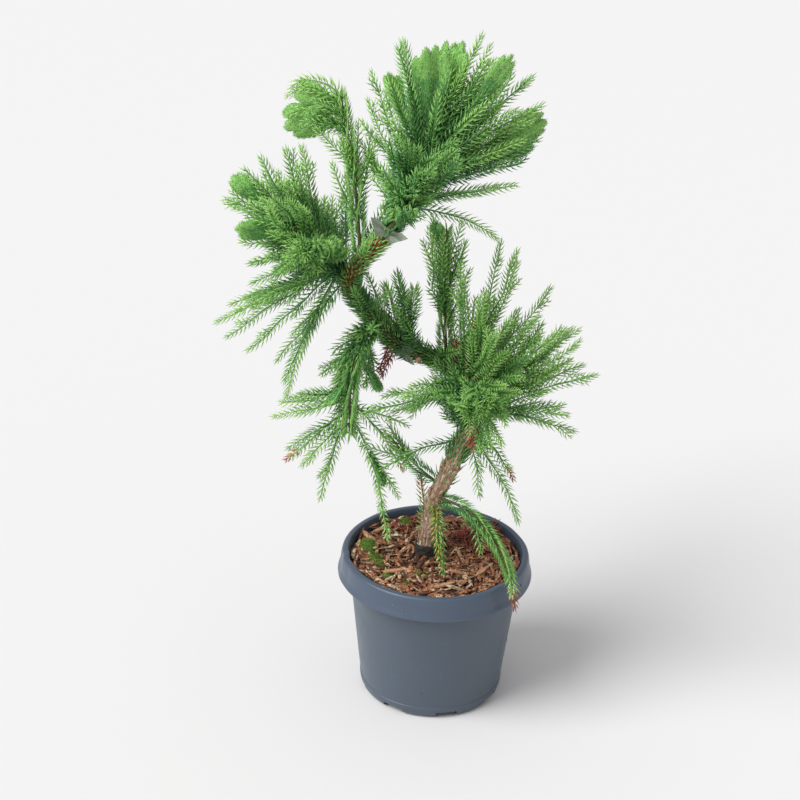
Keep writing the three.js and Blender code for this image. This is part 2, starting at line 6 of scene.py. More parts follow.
import math
import random
from collections import namedtuple
from functools import partial
from itertools import product

import bpy
from bpy.props import FloatProperty, FloatVectorProperty, IntProperty, PointerProperty
from mathutils import Matrix, Vector, noise


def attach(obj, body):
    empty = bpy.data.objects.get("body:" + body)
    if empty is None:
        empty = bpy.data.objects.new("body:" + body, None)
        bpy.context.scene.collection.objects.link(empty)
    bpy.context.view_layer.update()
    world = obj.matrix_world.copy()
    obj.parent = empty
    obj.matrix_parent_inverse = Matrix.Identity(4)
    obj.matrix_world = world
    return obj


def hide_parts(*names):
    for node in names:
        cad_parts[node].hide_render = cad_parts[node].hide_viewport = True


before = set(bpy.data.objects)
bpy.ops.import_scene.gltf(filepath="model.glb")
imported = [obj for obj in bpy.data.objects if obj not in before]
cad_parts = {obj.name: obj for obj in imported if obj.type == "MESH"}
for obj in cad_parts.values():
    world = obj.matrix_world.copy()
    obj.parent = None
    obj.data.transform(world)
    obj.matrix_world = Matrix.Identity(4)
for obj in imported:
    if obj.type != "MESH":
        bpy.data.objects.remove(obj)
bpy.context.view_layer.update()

bl_info = {
    "name": "Crested Cedar Spiral",
    "version": (1, 0, 0),
    "blender": (4, 5, 0),
    "location": "View3D > Sidebar > Topiary",
    "description": "Builds a crested cedar trained as a spiral, with its nursery pot",
    "category": "Add Mesh",
}

MM = 0.001
BODY = "root"
# Turn from one needle to the next: all round thick wood, in five slowly winding rows on shoots
GOLDEN_ANGLE = math.radians(137.508)
FIVE_ROW_ANGLE = math.radians(144.7)

# Pot: corners of the moulded wall from the middle of the underside out, up, over the rim and
# down inside. Each holds a radius, a height and how far the corner is rounded.
POT_CORNERS = [
    (0, 0, 0), (66, 0, 2), (69.3, 2.6, 2), (70.6, 7, 3), (70.95, 12, 0.35), (70.35, 12.3, 0.3),
    (74.5, 49, 20), (80.2, 100, 20), (85.55, 147.4, 1.2), (87.2, 148.5, 0.8), (89.6, 147.2, 1.6),
    (90.6, 139, 4), (91.5, 132.5, 3), (92.8, 128, 1), (93.5, 126.6, 0.5), (95, 127.2, 0.9),
    (94.4, 129.6, 1.6), (92.7, 133.4, 2.4), (92.2, 139, 3), (91.3, 146.6, 2), (90.2, 149.2, 1.3),
    (87.4, 150, 1.2), (84.9, 149.6, 1), (84, 146, 2), (79, 100, 20), (73, 49, 20),
    (68.6, 9, 3), (66, 1.6, 2), (0, 1.5, 0),
]
POT_COLUMNS = 192
CORNER_STEPS = 4
# Drainage notches, cut from the inner radius out by the depth
NOTCH = {"count": 8, "width": 21, "height": 6.5, "inner": 58, "depth": 20, "first_turn": 283}
POT_INSIDE = [(0, 67.5), (8, 68.4), (150, 84.3)]
# Lowest height of the collar, and the radius from which it dents
COLLAR_FOOT = 124
COLLAR_FROM = 83.5
# Dents of the collar: turn, half width in degrees, lowest height, depth. Each one grows to
# its depth over a height of 18.
DENT_GROWTH = 18
COLLAR_DENTS = [
    (312, 6, 128, -1.2), (321, 4.5, 126, 0.7), (186, 3, 124, -0.9), (193, 2.6, 124, 0.5),
    (203, 3.4, 124, -0.8), (74, 9, 126, -0.8), (128, 6, 126, 0.6), (23, 8, 128, -0.6),
]
# A shallow crease that runs down the collar: two ends, each a turn and a height
COLLAR_CREASE = ((236, 145), (272, 135))
CREASE_DEPTH = 0.8
CREASE_HALF_WIDTH = 1.7
SOIL_FLECKS = [
    (245, 138), (251, 135.6), (243, 47), (316, 18), (312, 14), (232, 9), (262, 30), (205, 25),
    (190, 14), (355, 52), (40, 60), (96, 22), (140, 96), (333, 138),
]

# Potting mix, with the trunk's foot a little left of the middle
MIX_TOP = 139.4
MIX_FLOOR = 1.85
MIX_RINGS = 44
MIX_COLUMNS = 120
TRUNK_FOOT = (-11, 4)
# How high things lie above the mix, on its layer of splinters
LIE = {"moss": 4.2, "chips": 6.5, "litter": 3.5}
# Moss cushions: place and radius
MOSS = [
    (-65, 14, 12), (-60, -8, 8), (-55, -20, 7), (-46, -41, 5), (-17, -36, 4.5), (-9, -41, 3),
    (-28, -52, 3), (31, 58, 6), (58, 30, 4), (-30, 62, 7),
]
# Large splinters on top of the mulch: place, heading, length, width, thickness
LARGE_CHIPS = [
    (-64, 26, 122, 30, 5, 2.2), (-40, -34, 8, 20, 5, 2), (8, -56, 20, 22, 4.5, 2),
    (46, -28, 60, 24, 5, 2), (66, 12, 100, 22, 5, 2), (-52, 46, 40, 22, 5, 2),
    (4, 66, 5, 24, 5, 2), (22, -34, 170, 20, 4, 2),
]
# Shed dead sprays on the mix: place, heading, length
LITTER = [
    (27, 22, 62, 42), (33, 8, 100, 34), (20, 34, 20, 30), (44, 20, 140, 28), (38, -6, 80, 26),
    (14, 26, 40, 24), (52, 34, 75, 30), (-20, 40, 150, 26), (60, -8, 110, 20), (30, 40, 10, 34),
]

# Trunk: an open spiral about an upright axis. Each station holds a height, the turn about the
# axis and the distance from it. The taper holds a height and a half thickness.
SPIRAL_AXIS_X = -25
TRUNK_STATIONS = [
    (138, 16, 14.5), (182, 6, 18.5), (211, 0, 24), (255, 0, 41), (304, 5, 60), (324, 25, 55),
    (338, 65, 42), (349, 107, 37), (378, 150, 40), (423, 180, 61), (453, 198, 59),
    (489, 228, 47), (530, 257, 31), (551, 280, 18), (572, 328, 9), (598, 360, 11),
]
TRUNK_TAPER = [
    (138, 9), (144, 7.6), (235, 7.4), (306, 6.6), (423, 5.4), (489, 4.2), (530, 3.2), (572, 2),
    (598, 1.2),
]
TRUNK_SAMPLES = 480
TRUNK_SIDES = 72
# Girths of trunk and stub that the bark's pattern is laid out on
TRUNK_GIRTH = 46
STUB_GIRTH = 20
SLEEVE = {"low": 142.5, "high": 156, "wall": 1.9, "columns": 72, "rows": 22}
TIES = {
    "tie_upper": {
        "height": 493, "width": 9, "heading": 285, "rise": 30,
        "tails": (((-0.8, -0.3, 0.6), 17, 14), ((0.85, -0.35, -0.3), 12, 13)),
    },
    "tie_lower": {
        "height": 350, "width": 9, "heading": 265, "rise": -10,
        "tails": (((-0.75, -0.5, 0.2), 10, 8), ((0.5, -0.5, -0.75), 9, 8)),
    },
}
TIE_WALL = 1.2
TIE_STEPS = 40
# The two turns of a tie: how far each leans, and how far it is shifted along the trunk
TIE_TURNS = ((0.16, -1.2), (-0.2, 1.0))
TAIL_STEPS = 14
# The way that a tail's face looks, and how far its end hangs
TAIL_FACE = (0.1, -0.85, 0.5)
TAIL_DROOP = (0, -0.6, -1.6)
KNOT = {"steps": 16, "radius": 1.9, "width": 3.4}

# Boughs: limb, place on it (a height on the trunk, a share of a bough), heading, rise, length,
# change of rise and of heading on the way, half thickness at both ends
BOUGHS = {
    "left_bough": ("trunk", 432, 170, 50, 105, -22, 0, 4.6, 1.6),
    "hook_bough": ("trunk", 458, 120, 84, 150, -8, 40, 3.6, 1.4),
    "weeping_bough": ("trunk", 380, 225, -18, 115, -82, 60, 4.2, 1.4),
    "tall_bough": ("trunk", 334, 240, 82, 140, 8, 0, 3.4, 1.2),
    "low_left_bough": ("trunk", 222, 168, 30, 70, 24, 0, 2.8, 1.1),
    "low_right_bough": ("trunk", 208, 318, 16, 150, -100, -8, 2.8, 1),
}
LIMB_STEPS = 12
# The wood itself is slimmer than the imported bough, which holds its needles too
BOUGH_SLIM = 0.5
BOUGH_SAMPLES = 60
BOUGH_SIDES = 20
# The stub of a pruned stem, in front of the lower tie, given as a bough up to its half thickness
STUB = ("trunk", 344, 285, -8, 15, 0, 0)
STUB_HALF_THICKNESS = 3.1
STUB_SIDES = 20

Spray = namedtuple("Spray", "limb at heading rise length bend swing wide thick roll outline")
# Share of a spray, then its half width and half thickness there as parts of the row's
OUTLINES = {
    "plume": [(0, 0.4, 0.9), (0.3, 0.96, 1.5), (0.72, 0.9, 1), (1, 0.25, 0.4)],
    "fan": [(0, 0.3, 0.8), (0.36, 0.66, 1.5), (0.84, 1, 1), (1, 0.66, 0.5)],
    "clump": [(0, 0.5, 0.5), (0.5, 1, 1), (1, 0.5, 0.5)],
}

# Foliage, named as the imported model's masses, each with its limb and outline. A row holds the
# place on the limb, heading, rise, length, change of rise, half width, half thickness, roll,
# and an outline where it has another one.
SPRAYS = {
    "crown_heart": ("trunk", "clump", (508, 45, 62, 78, 10, 27, 24, 0)),
    "ball_heart": ("trunk", "clump", (284, 95, 66, 78, 0, 41, 38, 0)),
    "left_heart": ("left_bough", "clump", (0.1, 170, 38, 88, -12, 36, 34, 0)),
    "crown_crest": ("trunk", "fan", (549, 62, 68, 104, 0, 15, 7, 10),
        (551, 84, 82, 98, 0, 15, 7, 10)),
    "crown_feather": ("trunk", "plume", (558, 134, 64, 97, 6, 11, 8, 0),
        (548, 152, 74, 104, 0, 12, 9, 0)),
    "crown_peak": ("trunk", "plume", (575, 47, 46, 95, 14, 9, 7, 60),
        (570, 13, 53, 93, 12, 9, 7, 60)),
    "crown_left_high": ("trunk", "plume", (530, 124, 49, 114, 0, 9, 7, 30),
        (525, 143, 56, 91, 0, 10, 7, 30), (534, 164, 68, 86, 0, 11, 8, 0)),
    "crown_left_low": ("trunk", "plume", (512, 122, 28, 88, 0, 9, 7, 60),
        (508, 134, 50, 60, 0, 9, 7, 40)),
    "crown_ridge": ("trunk", "fan", (556, 359, 50, 112, 8, 12, 7, 90),
        (558, 22, 44, 105, 0, 11, 7, 90)),
    "crown_back": ("trunk", "plume", (536, 66, 30, 62, 0, 24, 18, 60, "clump"),
        (552, 31, 30, 122, 0, 10, 7, 90), (556, 50, 24, 108, 0, 11, 8, 70),
        (542, 92, 32, 92, 0, 15, 9, 50, "fan")),
    "crown_right_crest": ("trunk", "fan", (546, 5, 30, 121, 0, 14, 7, 90),
        (544, 15, 20, 116, 0, 14, 7, 90)),
    "crown_right_under": ("trunk", "fan", (535, 27, 12, 116, 0, 12, 7, 80),
        (530, 8, 16, 94, 0, 11, 7, 80, "plume")),
    "crown_right_low": ("trunk", "plume", (522, 10, 6, 94, 0, 10, 7, 80),
        (520, 30, 0, 92, 0, 10, 7, 80), (514, 6, 1, 90, -40, 9, 6, 80)),
    "crown_front": ("trunk", "fan", (516, 290, 46, 56, 0, 20, 16, 0, "clump"),
        (530, 302, 42, 86, 0, 13, 8, 20), (522, 250, 58, 80, 0, 12, 8, 20),
        (512, 268, 24, 74, 0, 12, 8, 20)),
    "hook_crest": ("hook_bough", "fan", (0.86, 172, 50, 46, -70, 14, 7, 80),
        (0.8, 170, 24, 56, -60, 13, 7, 80)),
    "hook_plume": ("hook_bough", "plume", (0.46, 150, 80, 66, 0, 12, 8, 30),
        (0.42, 90, 66, 60, 8, 9, 7, 30)),
    "left_high": ("left_bough", "plume", (0.35, 134, 68, 94, 8, 11, 8, 20),
        (0.45, 181, 69, 91, 8, 11, 8, 20), (0.6, 210, 60, 84, 4, 11, 8, 20)),
    "left_knob": ("left_bough", "fan", (0.6, 193, 40, 80, 0, 14, 8, 70),
        (0.6, 168, 46, 75, 0, 10, 7, 50, "plume")),
    "left_out": ("left_bough", "plume", (0.68, 173, 18, 66, 0, 12, 9, 70),
        (0.62, 157, 9, 68, 0, 12, 9, 70)),
    "left_paddle": ("left_bough", "fan", (0.45, 201, 17, 74, 0, 14, 7, 80)),
    "left_spikes": ("left_bough", "plume", (0.4, 190, -12, 64, 0, 11, 8, 80),
        (0.34, 206, -16, 72, 0, 11, 8, 80)),
    "left_low": ("left_bough", "plume", (0.2, 184, -29, 122, 0, 10, 7, 60),
        (0.18, 171, -38, 132, 0, 10, 8, 60), (0.22, 158, -36, 102, 0, 10, 8, 60),
        (0.14, 196, -40, 112, 0, 10, 8, 60)),
    "left_hanging": ("left_bough", "plume", (0.04, 188, -52, 104, 0, 9, 7, 60),
        (0.14, 201, -58, 132, -18, 9, 7, 60)),
    "left_front": ("left_bough", "fan", (0.4, 256, 18, 62, 0, 26, 22, 0, "clump"),
        (0.3, 272, 30, 88, 0, 13, 8, 10), (0.6, 252, 38, 88, 0, 13, 8, 10),
        (0.44, 250, 0, 84, 0, 14, 9, 10)),
    "left_back": ("left_bough", "fan", (0.4, 98, 14, 62, 0, 26, 22, 0, "clump"),
        (0.3, 80, 24, 88, 0, 13, 8, 10), (0.55, 112, 22, 90, 0, 13, 8, 10),
        (0.4, 104, -22, 86, 0, 13, 8, 10)),
    "weeping_shoulder": ("weeping_bough", "clump", (0.06, 225, -6, 56, -62, 14, 12, 0)),
    "weeping_curtain": ("weeping_bough", "plume", (0.42, 214, -62, 74, -24, 14, 12, 0),
        (0.4, 190, -40, 40, -40, 11, 9, 0)),
    "weeping_left": ("weeping_bough", "plume", (0.7, 176, -18, 74, 0, 9, 7, 60),
        (0.66, 160, -14, 62, 0, 9, 7, 60)),
    "weeping_tail": ("weeping_bough", "plume", (0.82, 162, -66, 100, -16, 10, 7, 60),
        (0.78, 164, -46, 90, 0, 10, 7, 60)),
    "weeping_pot": ("weeping_bough", "plume", (0.8, 5, -66, 144, -16, 10, 8, 60),
        (0.72, 18, -46, 96, -20, 9, 7, 60)),
    "weeping_back": ("weeping_bough", "fan", (0.25, 96, -48, 96, -24, 12, 9, 30),
        (0.3, 114, -42, 88, -24, 12, 9, 30, "plume")),
    "ball_tall": ("tall_bough", "fan", (0.38, 217, 80, 96, 0, 12, 8, 0),
        (0.5, 349, 74, 60, 0, 8, 7, 0, "plume")),
    "ball_left_high": ("trunk", "plume", (346, 190, 64, 72, 10, 11, 8, 0),
        (345, 245, 66, 100, 4, 10, 8, 0)),
    "ball_upright": ("trunk", "plume", (325, 258, 67, 149, 0, 10, 8, 0),
        (323, 278, 62, 124, 4, 10, 8, 0), (321, 284, 50, 110, 0, 10, 8, 0)),
    "ball_fork": ("trunk", "plume", (325, 314, 69, 157, 0, 10, 7, 60),
        (324, 2, 71, 124, 0, 9, 7, 60)),
    "ball_right_high": ("trunk", "plume", (320, 16, 50, 117, 6, 10, 7, 70),
        (318, 42, 50, 82, 6, 10, 7, 70)),
    "ball_right_front": ("trunk", "plume", (316, 328, 54, 110, 6, 10, 7, 70),
        (314, 317, 44, 126, 6, 10, 7, 70)),
    "ball_crest": ("trunk", "fan", (312, 349, 36, 130, 12, 15, 8, 80),
        (312, 7, 33, 110, 12, 11, 7, 80, "plume")),
    "ball_right": ("trunk", "plume", (310, 6, 20, 102, 0, 11, 7, 80),
        (308, 344, 22, 117, 2, 10, 7, 80)),
    "ball_right_low": ("trunk", "plume", (304, 338, 10, 88, -6, 11, 7, 80),
        (300, 2, -3, 95, -18, 11, 7, 80), (300, 24, -12, 84, -12, 11, 7, 80)),
    "ball_left": ("trunk", "plume", (322, 202, 3, 88, -10, 10, 7, 70),
        (318, 210, 3, 121, -8, 10, 7, 70), (318, 188, -12, 80, -10, 11, 8, 70)),
    "ball_front": ("trunk", "fan", (312, 274, 18, 62, 0, 28, 24, 0, "clump"),
        (314, 296, 32, 92, -8, 14, 8, 10), (312, 258, 26, 94, -10, 14, 8, 10),
        (310, 276, 2, 90, -14, 14, 8, 10)),
    "ball_back": ("trunk", "fan", (322, 82, 18, 56, 0, 28, 24, 0, "clump"),
        (324, 92, 56, 88, 0, 14, 8, 10), (322, 58, 18, 88, -10, 14, 8, 10),
        (322, 100, 12, 84, -10, 14, 8, 10)),
    "low_hanging": ("trunk", "plume", (284, 340, -40, 30, -20, 13, 11, 0, "clump"),
        (278, 302, -52, 62, -26, 8, 6, 0), (280, 20, -32, 78, -36, 8, 6, 0),
        (279, 348, -46, 104, -28, 8, 6, 0)),
    "low_left": ("low_left_bough", "plume", (0.55, 175, 14, 48, 0, 9, 6, 70),
        (0.62, 140, 46, 34, 0, 9, 6, 70)),
    "low_left_hanging": ("trunk", "plume", (274, 203, -3, 88, -20, 8, 6, 70)),
    "low_right": ("low_right_bough", "plume", (0.32, 315, -18, 102, -66, 9, 6, 0),
        (0.34, 290, -40, 34, -30, 8, 6, 0)),
    "low_front": ("trunk", "plume", (206, 279, -17, 78, -50, 9, 6, 0)),
}
MASSES = {
    name: [Spray(limb, *row[:5], 0, *row[5:8], *(row[8:] or [kind])) for row in rows]
    for name, (limb, kind, *rows) in SPRAYS.items()
}
REGIONS = ("crown", "hook", "left", "weeping", "ball", "low")

# How the shoots of a mass grow, by the longest name that fits: needle length at foot and tip,
# shade at foot and tip, shoots that fork from the leading one, distance between side shoots (0
# for none), their length at the foot, how much they turn up (or down, below 0), and the
# distance between needles along a shoot
Style = namedtuple("Style", "foot tip low high forks spacing reach up gap")
STYLES = {
    "crown": (13, 9, 0.8, 3.0, 1, 34, 24, 0.25, 1.0),
    # Painted shade: the heart's needles are kept dark, where little light reaches
    "crown_heart": (12, 8, 0.2, 1.6, 0, 0, 0, 0.4, 1.1),
    "crown_feather": (16, 11, 0.6, 2.6, 1, 0, 0, 0.3, 0.85),
    "crown_front": (14, 10, 0.4, 2.1, 0, 40, 18, 0.1, 1.0),
    "crown_peak": (11, 8, 1.5, 3.4, 2, 26, 18, 0.3, 1.1),
    "crown_left": (9.5, 7, 1.5, 3.3, 1, 26, 20, 0.3, 1.15),
    "crown_right_low": (12, 8, 1.0, 3.2, 0, 0, 0, 0, 1.0),
    # Painted shade: the sprays under the crown's right crest are kept dark
    "crown_right_under": (12, 8, 0.3, 1.8, 1, 30, 18, 0, 1.0),
    "hook": (11, 7, 1.6, 3.4, 1, 24, 20, 0.3, 1.1),
    "left": (12, 8.5, 1.0, 3.0, 1, 28, 22, 0.2, 1.0),
    "left_high": (14, 10, 0.8, 2.9, 1, 30, 22, 0.3, 0.95),
    "left_hanging": (13, 8, 0.9, 2.9, 1, 0, 0, -0.2, 1.0),
    "left_low": (12, 8, 1.0, 3.1, 1, 34, 22, -0.1, 1.05),
    "left_front": (12, 8.5, 0.8, 2.6, 0, 0, 0, 0.2, 1.1),
    "left_back": (12, 8.5, 0.8, 2.6, 0, 0, 0, 0.2, 1.1),
    # Painted shade: the heart's needles are kept dark, where little light reaches
    "left_heart": (11, 8, 0.1, 1.6, 0, 0, 0, 0.3, 1.2),
    "weeping": (12.5, 8, 1.5, 3.1, 1, 34, 22, -0.4, 1.05),
    "weeping_curtain": (14, 10, 1.1, 2.6, 1, 0, 0, -0.4, 1.0),
    "weeping_shoulder": (13, 10, 0.9, 2.3, 0, 0, 0, -0.3, 1.1),
    "weeping_pot": (11, 7, 1.4, 3.3, 1, 24, 20, -0.3, 1.1),
    "ball": (12, 8.5, 1.1, 3.2, 1, 32, 24, 0.25, 1.0),
    "ball_front": (11.5, 8, 0.7, 2.6, 0, 0, 0, 0.2, 1.1),
    "ball_back": (11.5, 8, 0.7, 2.6, 0, 0, 0, 0.2, 1.1),
    # Painted shade: the heart's needles are kept dark, where little light reaches
    "ball_heart": (11, 8, 0.1, 1.7, 0, 0, 0, 0.4, 1.2),
    "ball_upright": (13, 9, 1.1, 3.0, 1, 34, 24, 0.3, 1.0),
    "ball_left": (12, 8, 1.0, 2.9, 1, 30, 22, -0.1, 1.0),
    "ball_left_high": (17, 12, 0.7, 2.4, 1, 0, 0, 0.2, 0.8),
    "ball_crest": (11, 7.5, 1.6, 3.6, 2, 14, 18, 0.3, 1.1),
    "low": (12, 8, 1.1, 2.9, 0, 40, 18, -0.3, 1.05),
    "low_front": (14, 9, 1.8, 2.4, 0, 0, 0, -0.3, 1.3),
    "low_right": (12, 8, 1.4, 2.8, 0, 30, 18, -0.3, 1.2),
}
# Styles of lone shoots, living and dry, and of the dead sprays on the mix
PLAIN_SHOOT = Style(13, 8, 1, 3, 0, 0, 0, 0, 1.0)
DRY_SHOOT = Style(9, 6, 7, 7, 0, 10, 11, 0, 1.0)
DEAD_SPRAY = Style(10, 6, 7, 7, 0, 10, 12, 0, 1.2)
# Side shoots: needle length, distance between needles, and the part of a shoot that has them
SIDE_NEEDLE = 8
SIDE_GAP = 1.1
FIRST_SIDE_SHARE = 0.25
LAST_SIDE_SHARE = 0.94
# Outside of a clump for each of its shoots, in square millimetres
FILLER_AREA = 250
# Angle that needles stand out at, by the share along the shoot
SHOOT_SPLAY = ((0, 48), (0.8, 40), (1, 20))
# Half thickness above which a limb counts as thick wood
THICK_WOOD = 4.4

# Masses whose flat rows end in a crest: rows, shade at its foot and rim, lobes of the rim, how
# far the rim curls over as a part of the half width, the share where the blade starts, and its
# width as a part of the row's
CRESTS = {
    "crown_crest": ((0, 1), 1.2, 2.6, 4, 0.25, 0.25, 1.0),
    "crown_ridge": ((0,), 1.3, 2.7, 3, 0.35, 0.5, 0.6),
    "crown_right_crest": ((1,), 1.6, 2.9, 4, -0.6, 0.5, 0.95),
    # Painted shade: the crest under the crown's right crest is kept dark
    "crown_right_under": ((0,), 0.5, 1.5, 3, -0.2, 0.55, 0.7),
    "crown_back": ((3,), 1.5, 2.6, 3, 0.4, 0.5, 0.7),
    "hook_crest": ((0, 1), 1.5, 2.7, 3, 0.3, 0.12, 1.15),
    "left_knob": ((0,), 1.4, 2.5, 3, 0.6, 0.55, 0.62),
    "left_paddle": ((0,), 1.3, 2.4, 3, 0.3, 0.42, 0.6),
    "ball_tall": ((0,), 1.2, 2.2, 2, 0.3, 0.8, 0.5),
}
# Crests without a mass of their own: row, then the same values
LONE_CRESTS = [
    (("trunk", 545, 138, 58, 88, 0, 0, 13, 7, 10, "fan"), 1.5, 2.7, 3, 0.3, 0.45, 0.75),
    (("trunk", 552, 40, 70, 104, 0, 0, 11, 7, 10, "fan"), 1.5, 2.7, 2, 0.3, 0.45, 0.75),
    (("hook_bough", 0.96, 182, 0, 36, -80, 0, 12, 6, 80, "fan"), 1.9, 3.0, 3, 0.4, 0.3, 0.75),
    (("weeping_bough", 0.5, 200, -40, 36, -30, 0, 12, 8, 20, "fan"), 0.9, 2.4, 3, 0.3, 0.15, 0.9),
    (("weeping_bough", 0.35, 30, -50, 44, -20, 0, 12, 8, 20, "fan"), 0.9, 2.2, 3, 0.3, 0.15, 0.9),
    (("weeping_bough", 0.8, 5, -62, 84, -10, 0, 10, 6, 20, "fan"), 0.6, 1.7, 3, 0.4, 0.55, 0.6),
]
# Plain shoots about a crest: across and through the row as parts of its size, and how far
CREST_LANES = ((-1.0, 0.3, 0.9), (1.0, -0.3, 0.86), (-0.4, 1.2, 0.62), (0.5, -1.2, 0.66))
CREST_COLUMNS = 37
CREST_ROWS = 34
CREST_HALF_THICKNESS = 1.9

# Rows whose shoots end dead and brown: mass, row, share where the green ends
DEAD_TIPS = {
    ("low_right", 0): 0.78,
    ("low_hanging", 2): 0.8,
    ("weeping_tail", 1): 0.8,
    ("weeping_pot", 1): 0.86,
}
# Shoots without a mass of their own: region and limb, then for each shoot its place, heading,
# rise, length, change of rise, first and last shade
LONE_SHOOTS = [(region, limb, *row) for region, limb, *rows in (
    ("low", "trunk", (165, 151, 81, 66, 0, 1.4, 7)),
    ("ball", "trunk", (330, 262, 62, 44, 0, 6.4, 7), (326, 300, 74, 62, 6, 6, 7),
        (300, 262, -30, 42, -10, 6.6, 7)),
    ("weeping", "trunk", (362, 235, -50, 34, -10, 6.6, 7), (356, 200, -62, 38, -10, 7, 7)),
    ("ball", "trunk", (350, 215, 58, 96, 6, 0.8, 2.4), (352, 182, 52, 88, 8, 0.6, 2.2),
        (340, 228, 48, 84, 8, 0.8, 2.6)),
    ("weeping", "trunk", (392, 250, 34, 62, 20, 0.5, 2.2), (384, 268, 6, 52, 20, 0.5, 2.4)),
    ("ball", "trunk", (318, 292, 44, 82, 10, 5.0, 2.4), (322, 268, 58, 76, 10, 5.2, 2.2)),
    ("low", "trunk", (205, 276, -12, 62, -52, 5.0, 4.6)),
    ("crown", "trunk", (448, 2, 66, 100, 0, 0.8, 2.8), (462, 328, 62, 84, 0, 1.0, 2.9)),
    ("left", "trunk", (446, 292, 40, 52, 20, 0.8, 2.6)),
    ("weeping", "trunk", (400, 300, 30, 58, 10, 0.6, 2.4)),
    ("ball", "trunk", (338, 300, 30, 48, 0, 1.0, 2.6)),
    ("hook", "hook_bough", (0.97, 172, 66, 52, -110, 2.4, 3.8), (0.9, 168, 60, 58, -100, 2.2, 3.6),
        (0.3, 60, 70, 70, 6, 1.6, 3.2), (0.25, 200, 60, 60, 10, 1.6, 3.2),
        (0.6, 190, 40, 45, 10, 2.0, 3.4), (0.45, 10, 62, 46, 10, 1.8, 3.3)),
    ("left", "left_bough", (0.05, 100, 78, 92, 0, 0.3, 1.8), (0.62, 214, 30, 62, 10, 1.6, 3.4),
        (0.66, 186, 60, 58, 0, 1.6, 3.4)),
    ("ball", "tall_bough", (0.55, 195, 62, 56, 8, 1.6, 3.2), (0.3, 355, 66, 60, 8, 1.6, 3.2),
        (0.72, 40, 62, 44, 8, 1.8, 3.2), (0.8, 170, 66, 40, 8, 1.8, 3.2)),
) for row in rows]
# Needles that stand on the limbs themselves: limb, first and last place, length, gap, shades,
# and the angle that they stand out at
CLADDING = [
    ("low", "trunk", 222, 262, 14, 1.4, 1.8, 2.4, 34),
    ("low", "trunk", 246, 300, 18, 0.42, 0.9, 1.8, 27),
    ("low", "trunk", 236, 292, 12, 3.6, 6.2, 5.4, 26),
    ("ball", "trunk", 300, 345, 13, 0.26, 0.7, 1.8, 40),
    ("weeping", "trunk", 345, 400, 14, 0.2, 0.7, 2.0, 42),
    ("left", "trunk", 400, 440, 14, 0.2, 0.6, 2.0, 42),
    ("left", "trunk", 436, 492, 16, 0.4, 0.9, 2.6, 34),
    ("left", "trunk", 414, 484, 19, 0.8, 5.7, 6.1, 9),
    ("crown", "trunk", 488, 597.5, 14, 0.2, 0.6, 2.6, 40),
    ("left", "left_bough", 0, 0.9, 13, 0.3, 0.4, 2.0, 44),
    ("hook", "hook_bough", 0.02, 1, 12, 0.36, 1.5, 3.2, 42),
    ("weeping", "weeping_bough", 0, 1, 14, 0.3, 1.1, 2.4, 42),
    ("ball", "tall_bough", 0, 1, 12, 0.38, 1.4, 2.9, 42),
    ("ball", "tall_bough", 0, 0.35, 10, 2.4, 5.2, 5.6, 30),
    ("low", "low_left_bough", 0.1, 1, 13, 0.55, 0.9, 2.4, 42),
    ("low", "low_right_bough", 0.03, 0.8, 12, 0.4, 1.1, 2.3, 42),
]

# Points tried for each square metre, before the least distance between two thins them out
TRIES = {"chips": 160000.0, "flakes": 90000.0, "moss": 1500000.0, "fur": 600000.0}

# Camera at the photograph's viewing angle. It sees as far as its reach, in metres.
CAMERA_PLACE = (-39.177, -1551.217, 1074.468)
CAMERA_AXES = (
    (0.99950656, -0.03141076, 0.0),
    (0.01386803, 0.441288, -0.89726),
    (0.02818357, 0.89681563, 0.44151),
)
CAMERA_LENS = 83.07
CAMERA_SENSOR = 36
CAMERA_REACH = 100
# A round floor whose edge is out of sight, a hair under the pot
FLOOR_RADIUS = 60000
FLOOR_HEIGHT = -0.2
FLOOR_SIDES = 96
# The way the key light falls: from the left, the front and above
KEY_FALL = (0.8, 0.42, -0.92)


# Colours, nodes and meshes


def linear(code):
    """Turns an sRGB hex colour into the linear one that Blender's sockets hold."""
    parts = [int(code[i:i + 2], 16) / 255 for i in (1, 3, 5)]
    return tuple(c / 12.92 if c <= 0.04045 else ((c + 0.055) / 1.055) ** 2.4 for c in parts)


def add(tree, kind, feeds=None, operation=None, **settings):
    """Adds a node, sets it, and feeds its inputs from values, other nodes or their outputs."""
    node = tree.nodes.new(kind)
    if operation:
        node.operation = operation
    for name, value in settings.items():
        setattr(node, name, value)
    return feed(tree, node, feeds or {})


def feed(tree, node, feeds):
    """Feeds a node's inputs. A node given as a feed stands for its first output."""
    for key, value in feeds.items():
        socket = node.inputs[key]
        value = value.outputs[0] if isinstance(value, bpy.types.Node) else value
        if isinstance(value, bpy.types.NodeSocket):
            tree.links.new(value, socket)
        else:
            socket.default_value = (*value[:3], 1) if socket.type == "RGBA" else value
    return node


def finish(name, **shader):
    """Starts a material: its node tree and the shader that ends it."""
    made = bpy.data.materials.new(name)
    made.use_nodes = True
    tree = made.node_tree
    tree.nodes.clear()
    sockets = {
        key.replace("_", " ").title().replace("Ior", "IOR"): value
        for key, value in shader.items()
    }
    surface = add(tree, "ShaderNodeBsdfPrincipled", sockets)
    add(tree, "ShaderNodeOutputMaterial", {"Surface": surface})
    return made, tree, surface


def coat(tree, surface, hue, height, strength, distance):
    """Gives a surface its colour and the relief that a height draws on it, in metres."""
    bump = add(tree, "ShaderNodeBump", {
        "Height": height, "Strength": strength, "Distance": distance,
    })
    feed(tree, surface, {"Base Color": hue, "Normal": bump})


